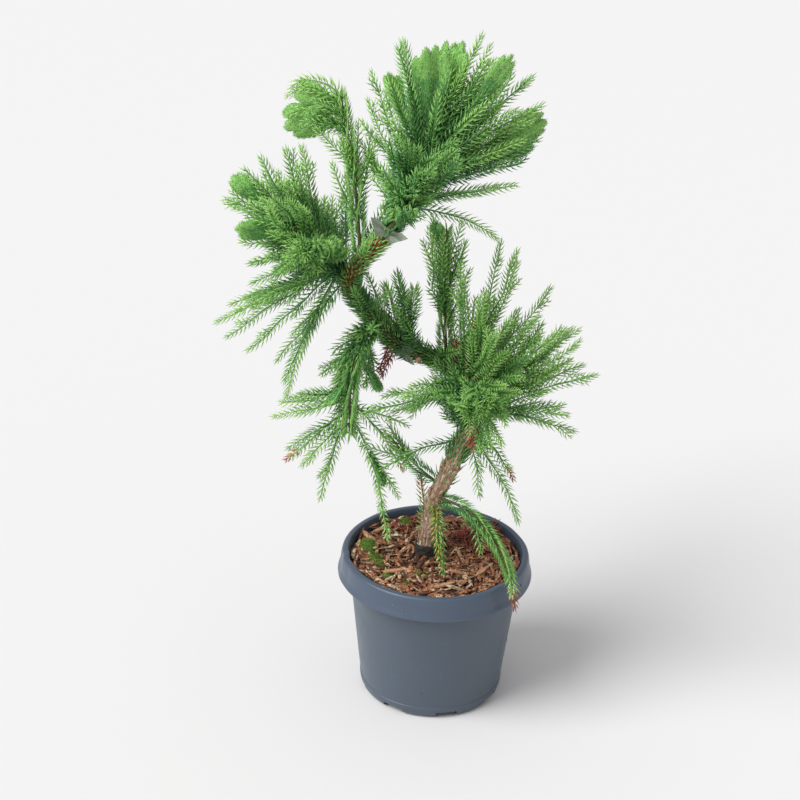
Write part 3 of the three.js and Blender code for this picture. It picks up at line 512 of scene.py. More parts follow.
def mottled(name, low, high, grain, relief, span=(0, 1), **shader):
    """A finish between two colours, by one noise that draws its relief too. The grain holds
    the noise's scale, detail and roughness."""
    made, tree, surface = finish(name, **shader)
    scale, detail, rough = grain
    cloud = add(tree, "ShaderNodeTexNoise", {
        "Vector": add(tree, "ShaderNodeTexCoord").outputs["Object"],
        "Scale": scale, "Detail": detail, "Roughness": rough,
    })
    cloud = add(tree, "ShaderNodeMapRange", {
        "Value": cloud, "From Min": span[0], "From Max": span[1],
    })
    hue = add(tree, "ShaderNodeMix", {0: cloud, 6: low, 7: high}, data_type="RGBA")
    coat(tree, surface, hue.outputs[2], cloud, *relief)
    return made


def scaled(colour, factor):
    """A colour made darker or brighter."""
    return tuple(min(part * factor, 1) for part in colour)


def started_tree(name, sizes):
    """Starts a Geometry Nodes tree whose named inputs are its sizes. Returns it, its inputs
    and the call that adds a node to it."""
    tree = bpy.data.node_groups.new(name, "GeometryNodeTree")
    for way in ("INPUT", "OUTPUT"):
        tree.interface.new_socket("Geometry", in_out=way, socket_type="NodeSocketGeometry")
    for label, value in sizes.items():
        kind = "NodeSocketInt" if isinstance(value, int) else "NodeSocketFloat"
        socket = tree.interface.new_socket(label, in_out="INPUT", socket_type=kind)
        socket.default_value = value
    return tree, add(tree, "NodeGroupInput").outputs, partial(add, tree)


def marked(node, names, kind="FLOAT"):
    """Reads the values that a piece's points hold."""
    return {
        name: node("GeometryNodeInputNamedAttribute", {"Name": name}, data_type=kind)
        for name in names
    }


def copies(tree, points, shape, facing, size, number, finishes, ragged=None):
    """Ends a tree: sets a copy of a shape on each point, makes them real, pulls them ragged
    where a noise's scale, detail and reach are given, and gives each its numbered finish."""
    node = partial(add, tree)
    made = node("GeometryNodeInstanceOnPoints", {
        "Points": points, "Instance": shape, "Rotation": facing, "Scale": size,
    })
    made = node("GeometryNodeStoreNamedAttribute", {
        0: made, "Name": "finish", "Value": number,
    }, data_type="INT", domain="INSTANCE")
    made = node("GeometryNodeRealizeInstances", {0: made})
    if ragged:
        scale, detail, reach = ragged
        pull = node("ShaderNodeTexNoise", {
            "Vector": node("GeometryNodeInputPosition"), "Scale": scale, "Detail": detail,
        }).outputs["Color"]
        pull = node("ShaderNodeVectorMath", {0: pull, 1: (0.5, 0.5, 0.5)}, "SUBTRACT")
        pull = node("ShaderNodeVectorMath", {0: pull, "Scale": reach}, "SCALE")
        made = node("GeometryNodeSetPosition", {0: made, "Offset": pull})
    else:
        made = node("GeometryNodeSetShadeSmooth", {0: made})
    return ended_tree(tree, made, finishes)


def spindle(node, bow):
    """An awl-shaped needle of six faces, from 0 to 1 along its own Z, bowed by parts of its
    half width."""
    ball = node("GeometryNodeMeshUVSphere", {"Segments": 3, "Rings": 2, "Radius": 1.0})
    corner = node("ShaderNodeSeparateXYZ", {0: node("GeometryNodeInputPosition")}).outputs
    # The ring sits at 0.3 of the length; the ends at 0 and 1
    along = node("ShaderNodeMapRange", {"Value": corner[2], "From Min": -1.0, "From Max": 1.0})
    along = node("ShaderNodeMath", {0: along, 1: 1.7}, "POWER")
    height = node("ShaderNodeMath", {0: corner[2], 1: corner[2]}, "MULTIPLY")
    bowed = node("ShaderNodeMapRange", {"Value": height, "To Min": bow, "To Max": 0.0})
    across, deep = (node("ShaderNodeMath", {0: corner[k], 1: 0.5}, "MULTIPLY") for k in (0, 1))
    out = node("ShaderNodeMath", {0: across, 1: bowed}, "ADD")
    shaped = node("ShaderNodeCombineXYZ", {0: out, 1: deep, 2: along})
    return node("GeometryNodeSetPosition", {0: ball, "Position": shaped})


def spun(node, facing, axis, angle):
    """Turns a rotation about one of its own axes."""
    by = node("FunctionNodeAxisAngleToRotation", {"Axis": axis, "Angle": angle})
    return node("FunctionNodeRotateRotation", {"Rotation": facing, "Rotate By": by},
                rotation_space="LOCAL")


def ended_tree(tree, shape, finishes):
    """Gives each face the finish whose number it holds, and ends the tree."""
    number = add(tree, "GeometryNodeInputNamedAttribute", {"Name": "finish"}, data_type="INT")
    for k, made in enumerate(finishes):
        chosen = add(tree, "FunctionNodeCompare", {2: number, 3: k},
                     data_type="INT", operation="EQUAL")
        shape = add(tree, "GeometryNodeSetMaterial", {
            0: shape, "Selection": chosen, "Material": made,
        })
    add(tree, "NodeGroupOutput", {0: shape})
    return tree


def baked(piece):
    """Leaves what a piece's modifier makes of it on the piece, as a plain mesh."""
    state = bpy.context.evaluated_depsgraph_get()
    made = bpy.data.meshes.new_from_object(piece.evaluated_get(state), depsgraph=state)
    piece.modifiers.clear()
    old, piece.data = piece.data, made
    bpy.data.meshes.remove(old)
    made.name = piece.name
    if not made.polygons:
        raise RuntimeError(f"{piece.name} came out empty")
    return piece


def grown(source, tree, sizes):
    """Runs a tree on an object, with its sizes."""
    step = source.modifiers.new(tree.name, "NODES")
    step.node_group = tree
    for socket in tree.interface.items_tree:
        if socket.in_out == "INPUT" and socket.name in sizes:
            step[socket.identifier] = sizes[socket.name]
    return baked(source)


def new_piece(name, places, faces, edges=()):
    """Makes an object at the origin from places in millimetres."""
    mesh = bpy.data.meshes.new(name)
    mesh.from_pydata([Vector(place) * MM for place in places], edges, faces)
    mesh.update()
    made = bpy.data.objects.new(name, mesh)
    bpy.context.scene.collection.objects.link(made)
    return made


def twin(name, source):
    """Makes a second object with a copy of another one's mesh."""
    made = bpy.data.objects.new(name, source.data.copy())
    bpy.context.scene.collection.objects.link(made)
    return made


def mark(piece, name, values, kind="FLOAT"):
    """Gives each point of a piece a named value, or a vector."""
    layer = piece.data.attributes.new(name, kind, "POINT")
    if kind == "FLOAT_VECTOR":
        layer.data.foreach_set("vector", [part for value in values for part in value])
    else:
        layer.data.foreach_set("value", values)


def keep(piece, finishes=(), nodes=()):
    """Ties a finished piece to the frame, with its finishes and what it replaces."""
    for made in finishes:
        piece.data.materials.append(made)
    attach(piece, BODY)
    if nodes:
        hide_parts(*nodes)


def smooth(piece, angle=None):
    """Shades a piece smooth, but for edges sharper than an angle in degrees."""
    piece.data.polygons.foreach_set("use_smooth", [True] * len(piece.data.polygons))
    if angle is not None:
        piece.data.set_sharp_from_angle(angle=math.radians(angle))


def interpolate(stops, at, part=1):
    """Value of a table at a place, level beyond its ends."""
    if at <= stops[0][0]:
        return stops[0][part]
    for before, after in zip(stops, stops[1:]):
        if at <= after[0]:
            share = (at - before[0]) / (after[0] - before[0])
            return before[part] + (after[part] - before[part]) * share
    return stops[-1][part]


def rippled(*spot):
    """A smooth random value from -1 to 1 at a place."""
    return noise.noise(Vector(spot))


# Paths: lists of samples, each a place, the way ahead and the side carried along


def pointing(heading, rise):
    """The way of a heading and a rise."""
    turn, tilt = math.radians(heading), math.radians(rise)
    level = math.cos(tilt)
    return Vector((level * math.cos(turn), level * math.sin(turn), math.sin(tilt)))


def carried_along(points, side):
    """Makes a path of points. Its side turns with it as little as it can."""
    path = []
    for i, place in enumerate(points):
        ahead = (points[min(i + 1, len(points) - 1)] - points[max(i - 1, 0)]).normalized()
        side = (side - ahead * side.dot(ahead)).normalized()
        path.append((place, ahead, side))
    return path


def trunk_path():
    """The trunk, a smooth curve through its stations."""
    spots = [
        Vector((SPIRAL_AXIS_X, 0, height)) + pointing(turn, 0) * out
        for height, turn, out in TRUNK_STATIONS
    ]
    spots = [2 * spots[0] - spots[1], *spots, 2 * spots[-1] - spots[-2]]
    spans = len(TRUNK_STATIONS) - 1
    points = []
    for k in range(TRUNK_SAMPLES + 1):
        along = k * spans / TRUNK_SAMPLES
        i = min(int(along), spans - 1)
        t = along - i
        a, b, c, d = spots[i:i + 4]
        points.append(
            0.5 * (
                2 * b + (c - a) * t + (2 * a - 5 * b + 4 * c - d) * t * t
                + (3 * b - a - 3 * c + d) * t ** 3
            )
        )
    return carried_along(points, Vector((1, 0, 0)))


def spray_path(root, heading, rise, length, bend, swing):
    """A run that changes its rise and heading evenly."""
    points = [root.copy()]
    for i in range(LIMB_STEPS):
        share = (i + 0.5) / LIMB_STEPS
        way = pointing(heading + swing * share, rise + bend * share)
        points.append(points[-1] + way * (length / LIMB_STEPS))
    return carried_along(points, pointing(heading + 90, 0))


def sample_at(path, share):
    """Place, way ahead and side at a share of a path, which runs on straight past its end."""
    along = min(max(share, 0), 1) * (len(path) - 1)
    low = min(int(along), len(path) - 2)
    place, ahead, side = (a.lerp(b, along - low) for a, b in zip(path[low], path[low + 1]))
    if share > 1:
        place = place + ahead * (share - 1) * (path[-1][0] - path[0][0]).length
    return place, ahead.normalized(), side.normalized()


def share_at_height(height):
    """Share of the trunk at which it passes a height."""
    path = PATHS["trunk"]
    after = next(i for i, sample in enumerate(path) if sample[0].z > height)
    low, high = path[after - 1][0].z, path[after][0].z
    return (after - 1 + (height - low) / (high - low)) / (len(path) - 1)


def share_on(limb, at):
    """Share of a limb, from a place as the tables give it."""
    return share_at_height(at) if limb == "trunk" else at


def row_path(row):
    """The path of a bough or spray."""
    limb, at, *run = row[:7]
    return spray_path(sample_at(PATHS[limb], share_on(limb, at))[0], *run)


PATHS = {"trunk": trunk_path()}
for bough, bough_row in BOUGHS.items():
    PATHS[bough] = row_path(bough_row)


def rolled_frame(path, share, roll):
    """Place, way ahead, and the ways across and through a spray that is rolled about its path."""
    place, ahead, side = sample_at(path, share)
    turned = math.radians(roll)
    across = side * math.cos(turned) + ahead.cross(side) * math.sin(turned)
    return place, ahead, across, ahead.cross(across)


# Closed surfaces


def band(low, high):
    """Faces between two closed rings of point numbers."""
    for i in range(len(low)):
        j = (i + 1) % len(low)
        yield tuple(dict.fromkeys((low[i], low[j], high[j], high[i])))


def lathe(name, corners, columns, shaped):
    """Turns a closed profile, given from the axis outside and back to the axis, about +Z. A
    function gives each place its true radius and height."""
    places, faces, rings = [], [], []
    for radius, height in corners:
        if radius == 0:
            rings.append([len(places)] * columns)
            places.append((0, 0, shaped(0, height, 0)[1]))
            continue
        rings.append(range(len(places), len(places) + columns))
        for i in range(columns):
            turn = 360 * i / columns
            reach, level = shaped(radius, height, turn)
            places.append(pointing(turn, 0) * reach + Vector((0, 0, level)))
    for low, high in zip(rings, rings[1:]):
        faces += band(low, high)
    return new_piece(name, places, faces)


def rounded(corners):
    """Rounds each corner of a profile that holds a rounding distance."""
    made = []
    for i, (radius, height, cut) in enumerate(corners):
        here = Vector((radius, height))
        if not cut:
            made.append((radius, height))
            continue
        before, after = (Vector(corners[i + k][:2]) - here for k in (-1, 1))
        start = here + before.normalized() * min(cut, before.length / 2)
        end = here + after.normalized() * min(cut, after.length / 2)
        for k in range(CORNER_STEPS + 1):
            t = k / CORNER_STEPS
            spot = start * (1 - t) ** 2 + here * 2 * t * (1 - t) + end * t * t
            made.append((spot.x, spot.y))
    return made


def tube(rings, along, girth):
    """Closes rings of places into one solid. Returns places, faces and UVs in metres."""
    sides = len(rings[0])
    places = [spot for ring in rings for spot in ring]
    faces, uvs = [], []
    for k in range(len(rings) - 1):
        low, high = k * sides, (k + 1) * sides
        faces += band(range(low, high), range(high, high + sides))
        for i in range(sides):
            for column, row in ((i, k), (i + 1, k), (i + 1, k + 1), (i, k + 1)):
                uvs.append((column / sides * girth * MM, along[row] * MM))
    for ring, step in ((0, -1), (len(rings) - 1, 1)):
        middle = len(places)
        places.append(sum(rings[ring], Vector()) / sides)
        for i in range(sides):
            j = (i + 1) % sides
            pair = (i, j) if step > 0 else (j, i)
            faces.append((ring * sides + pair[0], ring * sides + pair[1], middle))
            uvs += [(i / sides * girth * MM, along[ring] * MM)] * 3
    return places, faces, uvs


def limb_solid(path, shares, half_at, sides, rough, fine):
    """A limb with the lengthwise relief of fibrous bark, whose rough and fine ridges are
    parts of the radius. Returns its rings, how far along each one is, and the ways ahead."""
    rings, along, ways = [], [], []
    run, last = 0, None
    for share in shares:
        place, ahead, side = sample_at(path, share)
        run += (place - last).length if last else 0
        last = place
        up = ahead.cross(side)
        half = half_at(share, place)
        ring = []
        for i in range(sides):
            turn = math.tau * i / sides
            c, s = math.cos(turn), math.sin(turn)
            swell = 1 + rough * rippled(1.7 * c, 1.7 * s, run / 26)
            swell += fine * rippled(6.5 * c, 6.5 * s, run / 11)
            swell += 0.6 * fine * abs(rippled(11 * c, 11 * s + 9, run / 7))
            ring.append(place + (side * c + up * s) * half * swell)
        rings.append(ring)
        along.append(run)
        ways += [ahead] * sides
    return rings, along, ways


# Settings, made by kind


def colour(label, text, code):
    """A setting that holds a colour, from its hex code."""
    return FloatVectorProperty(
        name=label, description=text, subtype="COLOR", default=linear(code), min=0, max=1)


def distance(label, text, size, least=0):
    """A setting that holds a length, from millimetres."""
    return FloatProperty(
        name=label, description=text, default=size * MM, min=least * MM, unit="LENGTH")


def amount(label, text, default, **limits):
    """A setting that holds a plain amount."""
    return FloatProperty(name=label, description=text, default=default, min=0, **limits)


# Stage


class TopiaryStageSettings(bpy.types.PropertyGroup):
    """Light and floor."""

    key_strength: amount("Key strength", "Strength of the broad soft light from the left", 2.9)
    key_spread: amount(
        "Key spread", "Angle that the broad light seems to fill", math.radians(38),
        max=math.pi, subtype="ANGLE")
    sky_strength: amount("Sky strength", "Brightness of the pale room all round", 0.56)
    sky_colour: colour("Sky colour", "Colour of the pale room all round", "#fbfbfc")
    floor_colour: colour("Floor colour", "Colour of the pale floor", "#e3e2e2")


class TOPIARY_OT_stage(bpy.types.Operator):
    """Sets the camera, the soft lights and the pale floor"""

    bl_idname = "topiary.stage"
    bl_label = "Stage"

    def execute(self, context):
        settings = context.scene.topiary_stage
        scene = context.scene
        lens = bpy.data.cameras.new("camera")
        lens.lens = CAMERA_LENS
        lens.sensor_width = CAMERA_SENSOR
        lens.clip_end = CAMERA_REACH
        camera = bpy.data.objects.new("camera", lens)
        scene.collection.objects.link(camera)
        camera.matrix_world = (
            Matrix.Translation(Vector(CAMERA_PLACE) * MM) @ Matrix(CAMERA_AXES).to_4x4()
        )
        scene.camera = camera

        # A light this broad and far away leaves the pale floor even, as a large softbox does
        light = bpy.data.lights.new("key", "SUN")
        light.energy = settings.key_strength
        light.angle = settings.key_spread
        lamp = bpy.data.objects.new("key", light)
        lamp.rotation_euler = Vector(KEY_FALL).to_track_quat("-Z", "Y").to_euler()
        scene.collection.objects.link(lamp)

        world = bpy.data.worlds.new("pale_room")
        world.use_nodes = True
        background = world.node_tree.nodes["Background"]
        background.inputs["Color"].default_value = (*settings.sky_colour, 1)
        background.inputs["Strength"].default_value = settings.sky_strength
        scene.world = world

        rim = [pointing(360 * i / FLOOR_SIDES, 0) * FLOOR_RADIUS for i in range(FLOOR_SIDES)]
        floor = new_piece("floor", [(p.x, p.y, FLOOR_HEIGHT) for p in rim], [range(FLOOR_SIDES)])
        # A dull floor, so that only the soft shadow shows on it
        matt = finish("matt_pale_floor", base_color=settings.floor_colour, roughness=0.9)[0]
        floor.data.materials.append(matt)
        scene.view_settings.view_transform = "Standard"
        return {"FINISHED"}


# Pot


class TopiaryPotSettings(bpy.types.PropertyGroup):
    """The moulded pot."""

    wall_colour: colour("Wall colour", "Blue grey of the pot's wall", "#4f5b68")
    collar_colour: colour("Collar colour", "Fresher blue grey of the handled collar", "#4c596b")
    scuff_colour: colour("Scuff colour", "Pale rubbed marks and dried splashes", "#8b97a6")
    unevenness: distance("Unevenness", "How far the soft wall wanders from a true circle", 0.35)


def collar_dent(height, turn):
    """How far the handled collar stands out or in at a place, in millimetres."""
    moved = 0
    for middle, half, lowest, depth in COLLAR_DENTS:
        away = abs((turn - middle + 180) % 360 - 180) / half
        rise = min(max((height - lowest) / DENT_GROWTH, 0), 1)
        moved += depth * math.exp(-away * away) * rise
    (first, high), (last, low) = COLLAR_CREASE
    share = (turn - first) / (last - first)
    if 0 < share < 1:
        centre = high + (low - high) * share
        fade = math.sin(math.pi * share)
        away = (height - centre) / CREASE_HALF_WIDTH
        moved -= CREASE_DEPTH * fade * math.exp(-away * away)
    return moved


def moulded_plastic(settings):
    """Moulded polypropylene: a soft satin sheen, faint rubbed marks, and a skin that wavers
    too little to see except in the highlight."""
    made, tree, surface = finish(
        "moulded_polypropylene", roughness=0.4, ior=1.49, specular_ior_level=0.5)
    node = partial(add, tree)
    place = node("ShaderNodeTexCoord").outputs["Object"]
    height = node("ShaderNodeSeparateXYZ", {0: place}).outputs["Z"]
    is_collar = node("ShaderNodeMapRange", {"Value": height, "From Min": 0.124, "From Max": 0.13})
    # Clouds about 36 mm wide, and upright rubbed streaks of 4 by 20 mm
    clouds = node("ShaderNodeTexNoise", {
        "Vector": place, "Scale": 28.0, "Detail": 3.0, "Roughness": 0.55,
    })
    streaks = node("ShaderNodeMapping", {"Vector": place, "Scale": (260.0, 260.0, 50.0)})
    rubbed = node("ShaderNodeTexNoise", {
        "Vector": streaks, "Scale": 1.0, "Detail": 4.0, "Roughness": 0.7,
    })
    rubbed = node("ShaderNodeMapRange", {
        "Value": rubbed, "From Min": 0.62, "From Max": 0.85, "To Max": 0.18,
    })
    hue = node("ShaderNodeMix", {
        0: is_collar, 6: settings.wall_colour, 7: settings.collar_colour,
    }, data_type="RGBA").outputs[2]
    darker = node("ShaderNodeHueSaturation", {"Value": 0.84, "Color": hue})
    hue = node("ShaderNodeMix", {0: clouds, 6: darker, 7: hue}, data_type="RGBA").outputs[2]
    hue = node("ShaderNodeMix", {0: rubbed, 6: hue, 7: settings.scuff_colour},
               data_type="RGBA").outputs[2]
    gloss = node("ShaderNodeMapRange", {
        "Value": clouds, "From Min": 0.3, "From Max": 0.7, "To Min": 0.3, "To Max": 0.44,
    })
    feed(tree, surface, {"Roughness": gloss})
    # The mould's grain is finer than can show, so it is drawn coarser, 2.4 mm wide
    skin = node("ShaderNodeTexNoise", {"Vector": place, "Scale": 420.0, "Detail": 2.0})
    coat(tree, surface, hue, skin, 0.12, 0.0003)
    return made


class TOPIARY_OT_pot(bpy.types.Operator):
    """Makes the moulded nursery pot, with its dented collar and drainage notches"""

    bl_idname = "topiary.pot"
    bl_label = "Pot"

    def execute(self, context):
        settings = context.scene.topiary_pot
        wander = settings.unevenness / MM

        def dented(radius, height, turn):
            c, s = math.cos(math.radians(turn)), math.sin(math.radians(turn))
            radius += wander * rippled(1.6 * c, 1.6 * s, height / 60)
            if height > COLLAR_FOOT and radius > COLLAR_FROM:
                radius += collar_dent(height, turn)
            return radius, height

        pot = lathe("pot_wall", rounded(POT_CORNERS), POT_COLUMNS, dented)
        corners, faces = [], []
        for i in range(NOTCH["count"]):
            turn = NOTCH["first_turn"] + 360 * i / NOTCH["count"]
            out, side = pointing(turn, 0), pointing(turn + 90, 0)
            first = len(corners)
            for far, wide, high in product((0, NOTCH["depth"]), (-0.5, 0.5), (-1, 1)):
                spot = out * (NOTCH["inner"] + far) + side * wide * NOTCH["width"]
                corners.append(spot + Vector((0, 0, high * NOTCH["height"])))
            for face in ((0, 1, 3, 2), (4, 6, 7, 5), (0, 4, 5, 1), (2, 3, 7, 6),
                         (0, 2, 6, 4), (1, 5, 7, 3)):
                faces.append(tuple(first + k for k in face))
        cutter = new_piece("notch_cutter", corners, faces)
        cut = pot.modifiers.new("notches", "BOOLEAN")
        cut.object = cutter
        cut.operation = "DIFFERENCE"
        cut.solver = "EXACT"
        baked(pot)
        bpy.data.objects.remove(cutter)
        smooth(pot, 40)
        pot.data.materials.clear()
        keep(pot, [moulded_plastic(settings)], ["pot"])
        return {"FINISHED"}


# Potting mix, bark mulch and moss


class TopiaryMulchSettings(bpy.types.PropertyGroup):
    """The bark mulch."""

    chip_spacing: distance("Chip spacing", "Least distance between two splinters", 2.3, 1)
    chip_length: distance("Chip length", "Length of the longest splinters", 26, 2)
    soil_colour: colour("Soil colour", "Moist mix between the splinters", "#1f140f")
    moss_colour: colour("Moss colour", "Moss cushions", "#83ad33")
    seed: IntProperty(
        name="Seed", description="Start of the random lie of the splinters", default=4, min=0)


# Mostly fresh orange brown, some dark and damp, and a few pale splinters of sapwood
CHIP_COLOURS = ("#b9805c", "#a56a48", "#d9ab88", "#875238", "#5f3a2a", "#e6c4a2")


def shredded_bark(code, number):
    """Shredded bark: dull and fibrous, each splinter mottled down to a very dark tone, partly damp
    bark and partly painted shade for the gaps between splinters. Its noise is 3 mm wide,
    coarser than real fibres, which are too fine to show."""
    base = linear(code)
    # Painted shade: the dark end, a sixth of the bark's colour, stands for the shade between
    # splinters
    return mottled(f"shredded_bark_{number}", scaled(base, 0.16), scaled(base, 1.4),
                   (350.0, 4.0, 0.7), (0.5, 0.0005), (0.38, 0.68), roughness=0.85)


def chip_tree(finishes):
    """Splinters strewn on the mix: they lie anyhow in the middle and along the wall at the
    edge, so that none pokes through the pot."""
    tree, sizes, node = started_tree("bark_splinters", {
        "Spacing": 0.0027, "Longest": 0.021, "Widest": 0.0042, "Pile": 0.004, "Seed": 4,
    })
    strewn = node("GeometryNodeDistributePointsOnFaces", {
        "Mesh": sizes["Geometry"], "Selection": marked(node, ["top"])["top"],
        "Distance Min": sizes["Spacing"], "Density Max": TRIES["chips"], "Seed": sizes["Seed"],
    }, distribute_method="POISSON")
    place = node("GeometryNodeInputPosition")
    spot = node("ShaderNodeSeparateXYZ", {0: place}).outputs
    turn = node("ShaderNodeMath", {0: spot[1], 1: spot[0]}, "ARCTAN2")
    level = node("ShaderNodeVectorMath", {0: place, 1: (1, 1, 0)}, "MULTIPLY")
    out = node("ShaderNodeVectorMath", {0: level}, "LENGTH").outputs["Value"]
    # Up to 58 mm from the axis a splinter turns freely, and beyond 72 mm it follows the wall
    freedom = node("ShaderNodeMapRange", {
        "Value": out, "From Min": 0.058, "From Max": 0.072, "To Min": 3.2, "To Max": 0.3,
    })
    swing, roll, pitch, lift, long, wide, thick, pick = (
        node("FunctionNodeRandomValue", {2: low, 3: high, 8: seed}).outputs[1]
        for low, high, seed in (
            (-1.0, 1.0, sizes["Seed"]), (-0.7, 0.7, 11), (-0.42, 0.42, 12), (0.0, 1.0, 13),
            (0.45, 1.0, 14), (0.3, 1.0, 15), (0.0007, 0.0019, 16), (0.0, 1.0, 17),
        )
    )
    # Few splinters are long, and few are pale, so these random shares are raised to a power
    long, pick = (
        node("ShaderNodeMath", {0: share, 1: power}, "POWER")
        for share, power in ((long, 2.2), (pick, 1.35))
    )
    swing, lift, long, wide, pick = (
        node("ShaderNodeMath", {0: share, 1: whole}, "MULTIPLY")
        for share, whole in (
            (swing, freedom), (lift, sizes["Pile"]), (long, sizes["Longest"]),
            (wide, sizes["Widest"]), (pick, float(len(finishes))),
        )
    )
    yaw = node("ShaderNodeMath", {0: turn, 1: math.pi / 2}, "ADD")
    yaw = node("ShaderNodeMath", {0: yaw, 1: swing}, "ADD")
    facing = node("ShaderNodeCombineXYZ", {0: roll, 1: pitch, 2: yaw})
    facing = node("FunctionNodeEulerToRotation", {0: facing})
    strewn = node("GeometryNodeSetPosition", {
        0: strewn, "Offset": node("ShaderNodeCombineXYZ", {2: lift}),
    })
    size = node("ShaderNodeCombineXYZ", {0: long, 1: wide, 2: thick})
    splinter = node("GeometryNodeMeshCube", {
        "Size": (1, 1, 1), "Vertices X": 5, "Vertices Y": 3, "Vertices Z": 2,
    })
    # A splinter is a bar that narrows to 0.3 of its width at both ends
    ends = node("ShaderNodeMath", {0: spot[0], 1: 2.0}, "MULTIPLY")
    ends = node("ShaderNodeMath", {0: ends, 1: ends}, "MULTIPLY")
    narrow = node("ShaderNodeMapRange", {
        "Value": ends, "From Min": 0.1, "To Min": 1.0, "To Max": 0.3,
    })
    sides = [node("ShaderNodeMath", {0: spot[k], 1: narrow}, "MULTIPLY") for k in (1, 2)]
    tapered = node("ShaderNodeCombineXYZ", {0: spot[0], 1: sides[0], 2: sides[1]})
    splinter = node("GeometryNodeSetPosition", {0: splinter, "Position": tapered})
    pick = node("FunctionNodeFloatToInt", {0: pick}, rounding_mode="FLOOR")
    return copies(tree, strewn, splinter, facing, size, pick, finishes, (210.0, 2.0, 0.003))


def mix_height(x, y):
    """Height of the mix at a place: uneven, a little lower along the wall, and higher round
    the trunk's foot."""
    away = math.hypot(x - TRUNK_FOOT[0], y - TRUNK_FOOT[1])
    height = MIX_TOP - 1.6 * (math.hypot(x, y) / 82) ** 4 + 1.6 * math.exp(-((away / 16) ** 2))
    return height + 1.5 * rippled(x / 17, y / 17, 3) + 0.6 * rippled(x / 5, y / 5, 8)


def make_mix(settings):
    """The potting mix, with its top marked for the splinters."""
    edge = interpolate(POT_INSIDE, MIX_TOP - 2) - 0.4
    corners = [(0, MIX_FLOOR), (64, MIX_FLOOR), (67.9, 8.4)]
    corners += [(edge * (1 - k / MIX_RINGS), None) for k in range(MIX_RINGS + 1)]

    def shaped(radius, height, turn):
        spot = pointing(turn, 0) * radius
        return radius, mix_height(spot.x, spot.y) if height is None else height

    mix = lathe("mix_ground", corners, MIX_COLUMNS, shaped)
    # The top starts within the mix's edge, after the underside's middle and three rings
    top_from = 1 + 3 * MIX_COLUMNS
    mark(mix, "top", [float(i >= top_from) for i in range(len(mix.data.vertices))])
    smooth(mix)
    # Potting mix: dark and damp, with crumbs of 2.5 mm that the relief draws
    damp = mottled("damp_potting_mix", scaled(settings.soil_colour, 0.4),
                   scaled(linear("#3a241a"), 2.4), (400.0, 6.0, 0.75), (0.9, 0.0015),
                   roughness=0.95)
    keep(mix, [damp], ["potting_mix"])
    return mix


def strew_chips(settings, mix):
    """Two layers of bark on the mix: splinters, and crumbs between them."""
    tree = chip_tree([shredded_bark(code, k) for k, code in enumerate(CHIP_COLOURS)])
    for seed, (name, apart, longest, widest, pile) in enumerate((
        ("bark_splinters", 1, settings.chip_length, 4.4 * MM, 6 * MM),
        ("bark_crumbs", 1.05, 8 * MM, 2.4 * MM, 2.2 * MM),
    ), settings.seed):
        keep(grown(twin(name, mix), tree, {
            "Spacing": settings.chip_spacing * apart, "Longest": longest, "Widest": widest,
            "Pile": pile, "Seed": seed,
        }))


def moss_tree(finishes):
    """Moss: short leafy stems that stand out from a cushion."""
    tree, sizes, node = started_tree("moss_stems", {"Spacing": 0.0009, "Leaf": 0.0026})
    strewn = node("GeometryNodeDistributePointsOnFaces", {
        "Mesh": sizes["Geometry"], "Distance Min": sizes["Spacing"],
        "Density Max": TRIES["moss"], "Seed": 2,
    }, distribute_method="POISSON")
    lean = node("FunctionNodeRandomValue", {
        0: (-0.6, -0.6, -0.2), 1: (0.6, 0.6, 0.6), 8: 3,
    }, data_type="FLOAT_VECTOR")
    way = node("ShaderNodeVectorMath", {0: strewn.outputs["Normal"], 1: lean}, "ADD")
    facing = node("FunctionNodeAlignRotationToVector", {"Vector": way}, axis="Z")
    length = node("FunctionNodeRandomValue", {2: 0.5, 3: 1.0, 8: 4}).outputs[1]
    length = node("ShaderNodeMath", {0: length, 1: sizes["Leaf"]}, "MULTIPLY")
    size = node("ShaderNodeCombineXYZ", {0: 0.00055, 1: 0.00055, 2: length})
    pick = node("FunctionNodeRandomValue", {4: 0, 5: len(finishes) - 1, 8: 5},
                data_type="INT").outputs[2]
    return copies(tree, strewn, spindle(node, 0.4), facing, size, pick, finishes)


def grow_moss(settings):
    """Low cushions with moss on them."""
    rng = random.Random(21)
    places, faces = [], []
    rings, columns = 6, 18
    for x, y, radius in MOSS:
        ground = mix_height(x, y) + LIE["moss"]
        lift = [rng.uniform(0.8, 1.15) for _ in range(columns)]
        low = [len(places)] * columns
        places.append((x, y, ground + radius * 0.5))
        for k in range(1, rings + 1):
            share = k / rings
            high, low = low, range(len(places), len(places) + columns)
            for i in range(columns):
                wide = pointing(360 * i / columns, 0) * radius * share * lift[i]
                rise = radius * 0.5 * math.cos(share * math.pi / 2) - 1.6 * share ** 6
                places.append(wide + Vector((x, y, ground + rise)))
            faces += band(low, high)
        faces.append(tuple(reversed(low)))
    moss = new_piece("moss", places, faces)
    # Moss: soft and matt, in a fresh green and two darker copies of it, painted shade that gives
    # it depth
    finishes = [
        finish(f"moss_{k}", base_color=scaled(settings.moss_colour, tone), roughness=0.8)[0]
        for k, tone in enumerate((0.32, 0.62, 1.0))
    ]
    # Painted shade: the cushion under the stems is the darkest copy
    base = twin("moss_cushions", moss)
    smooth(base)
    keep(base, finishes[:1])
    keep(grown(moss, moss_tree(finishes), {"Spacing": 0.9 * MM, "Leaf": 3.6 * MM}))


